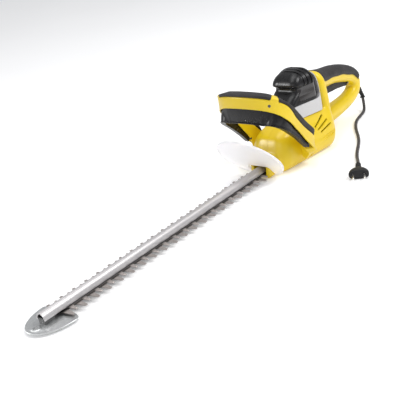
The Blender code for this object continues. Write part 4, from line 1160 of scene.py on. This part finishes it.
def ground_blade(node, z, reach, tooth, shift, centre_shift, ground_up):
    """Toothed blade whose cutting edges are ground to a slope on one side. Node and body share a name."""
    root = SPINDLE_X + centre_shift
    outline = rounded(blade_outline(reach, tooth, shift, root), 1.1, 3)
    slope = inset(outline, 0.9)
    middle = (z[0] + z[1]) / 2
    layers = [(slope, z[0]), (outline, middle), (outline, z[1])]
    if ground_up:
        layers = [(outline, z[0]), (outline, middle), (slope, z[1])]
    flat = loft("ground_" + node, [[(x, y, height) for x, y in points] for points, height in layers])
    for x in BOLT_XS:
        centre, half = x + centre_shift, STROKE + BOLT_R + 0.8
        slot = rounded(((centre - half, -BOLT_R - 0.5), (centre + half, -BOLT_R - 0.5),
                        (centre + half, BOLT_R + 0.5), (centre - half, BOLT_R + 0.5)), 0.6)
        combine(flat, prism("slot", slot, z[0] - 1.0, z[1] + 1.0))
    yoke_x, yoke_y = 2 * STROKE + ECCENTRIC_R + 0.6, STROKE + ECCENTRIC_R + 0.4
    combine(flat, box("yoke", (root - yoke_x, root + yoke_x), (-yoke_y, yoke_y), (z[0] - 1.0, z[1] + 1.0)))
    settle(flat, "blade", node, (node,), 12.0)


def arched_bar():
    """Rolled sheet bar over the blades, with a fine line pressed along its crown."""
    def arch(half, height, groove):
        points = []
        for k in range(49):
            turn = math.pi * k / 48
            dip = groove * math.exp(-((turn - math.pi / 2) / 0.05) ** 2)
            points.append(((half - dip) * math.cos(turn), BAR_Z + (height - dip) * math.sin(turn)))
        return points
    outer = arch(BAR_HALF, BAR_HEIGHT, 0.35)
    inner = arch(BAR_HALF - BAR_SHEET, BAR_HEIGHT - BAR_SHEET, 0.0)
    bar = prism("arched_bar", outer + inner[::-1], BAR_X[0], BAR_X[1], "X")
    settle(bar, "bar", "main", ("guide_bar",))


def round_tip():
    rear, front = PLATE_X
    turns = [math.pi * (k / 60 - 0.5) for k in range(61)]
    outline = [(rear + (front - rear) * math.cos(t), PLATE_HALF * math.sin(t)) for t in turns]
    outline += [(rear - 5.0, PLATE_HALF - 4.0), (rear - 8.0, PLATE_HALF - 12.0)]
    outline += [(rear - 8.0, 12.0 - PLATE_HALF), (rear - 5.0, 4.0 - PLATE_HALF)]
    low, high = PLATE_Z
    layers = ((0.4, low), (0.0, low + 0.4), (0.0, high - 0.4), (0.4, high))
    plate = loft("round_tip", [[(x, y, z) for x, y in inset(outline, back)] for back, z in layers])
    boss = turned("boss", (HANG_HOLE_X, 0.0, high - 0.6), UP,
                  ((0.0, 8.2), (0.6, 8.2), (0.9, 7.6), (1.5, 6.4), (1.7, 5.8), (1.7, 5.2)), 48)
    combine(plate, boss, "UNION")
    drill(plate, (HANG_HOLE_X, 0.0, 0.0), UP, 12.0, HANG_HOLE_R)
    drill(plate, (TIP_SCREW_X, 0.0, 0.0), UP, 12.0, SCREW_R + GAP)
    settle(plate, "plate_steel", "main", ("tip_plate",))


# ---------------------------------------------------------------- cord, gland and plug

def ribbed_gland(blank):
    """Bent strain relief with rings, and a flange at the cord's end."""
    stations = smooth_path(GLAND_ROUTE, 12)
    count = len(stations)
    ribbed = []
    for k, (x, y, z, radius) in enumerate(stations):
        ring = 0.45 * (math.sin(k * 1.25) > 0.0) if k > count * 0.45 else 0.0
        ribbed.append((x, y, z, radius - ring))
    start = Vector(CORD_ROUTE[0])
    out = (start - Vector(CORD_ROUTE[1])).normalized()
    ribbed += [(*(start + out * distance), radius) for distance, radius in GLAND_FLANGE]
    gland = combine(tube("ribbed_gland", ribbed), blank, keep_tool=True)
    settle(gland, "black", "main", ("cord_gland",))


def flat_plug():
    """Flat two pin plug with a ribbed neck."""
    end, before = Vector(CORD_ROUTE[-1]), Vector(CORD_ROUTE[-2])
    along = end - before
    along.z = 0.0
    along.normalize()
    side = UP.cross(along)
    start = end + along * GAP
    neck = []
    for k in range(11):
        distance = 2.0 * k
        grow = 0.05 * distance
        notch = 0.9 if k % 2 else 0.0
        half, tall = NECK_HALF + grow - notch, NECK_HALF + 0.8 * grow - notch
        neck += [(distance, half, tall), (distance + 1.2, half, tall)]
    stations = neck + smooth_path(PLUG_SHELL, 3) + [(45.3, 17.3, 8.3), (46.0, 16.6, 7.7)]
    rings = []
    for distance, half, tall in stations:
        middle = start + along * distance
        ring = []
        for k in range(40):
            turn = 2 * math.pi * k / 40
            c, s = math.cos(turn), math.sin(turn)
            across = math.copysign(abs(c) ** 0.7, c) * half
            upward = math.copysign(abs(s) ** 0.7, s) * tall
            ring.append(tuple(middle + side * across + UP * upward))
        rings.append(ring)
    return settle(loft("flat_plug", rings), "black", "main", ("plug_body",), 30.0)


def power_cord(plug):
    """Round cord along the route that the CAD has too, with the plug and its pins at its end."""
    curve = bpy.data.curves.new("cord", "CURVE")
    curve.dimensions = "3D"
    curve.bevel_depth = CORD_R * MM
    curve.bevel_resolution = 5
    curve.use_fill_caps = True
    points = [Vector(point) for point in smooth_path(CORD_ROUTE, 4)]
    spline = curve.splines.new("POLY")
    spline.points.add(len(points) - 1)
    for point, place in zip(spline.points, points):
        point.co = (*(place * MM), 1.0)
    curve.materials.append(LOOKS["cord"])
    piece = bpy.data.objects.new("cord", curve)
    bpy.context.scene.collection.objects.link(piece)
    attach(piece, "main")
    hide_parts("power_cord")


make_camera()
make_studio()
dress_cad()
solid = housing_blank()
housings(solid)
rear_soft_grip()
motor_hood()
silver_collar()
sections = front_frames()
loop_handle(sections, solid)
for strip in STRIPS:
    soft_strip(sections, *strip)
squeeze_bar(sections)
press_springs()
loop_screw(sections)
clear_guard()
ground_blade("lower_blade", LOWER_Z, LOWER_REACH, LOWER_TOOTH, 0.0, STROKE_REST, False)
ground_blade("upper_blade", UPPER_Z, UPPER_REACH, UPPER_TOOTH, -2 * STROKE_REST, -STROKE_REST, True)
arched_bar()
round_tip()
ribbed_gland(solid)
bpy.data.objects.remove(solid, do_unlink=True)
power_cord(flat_plug())
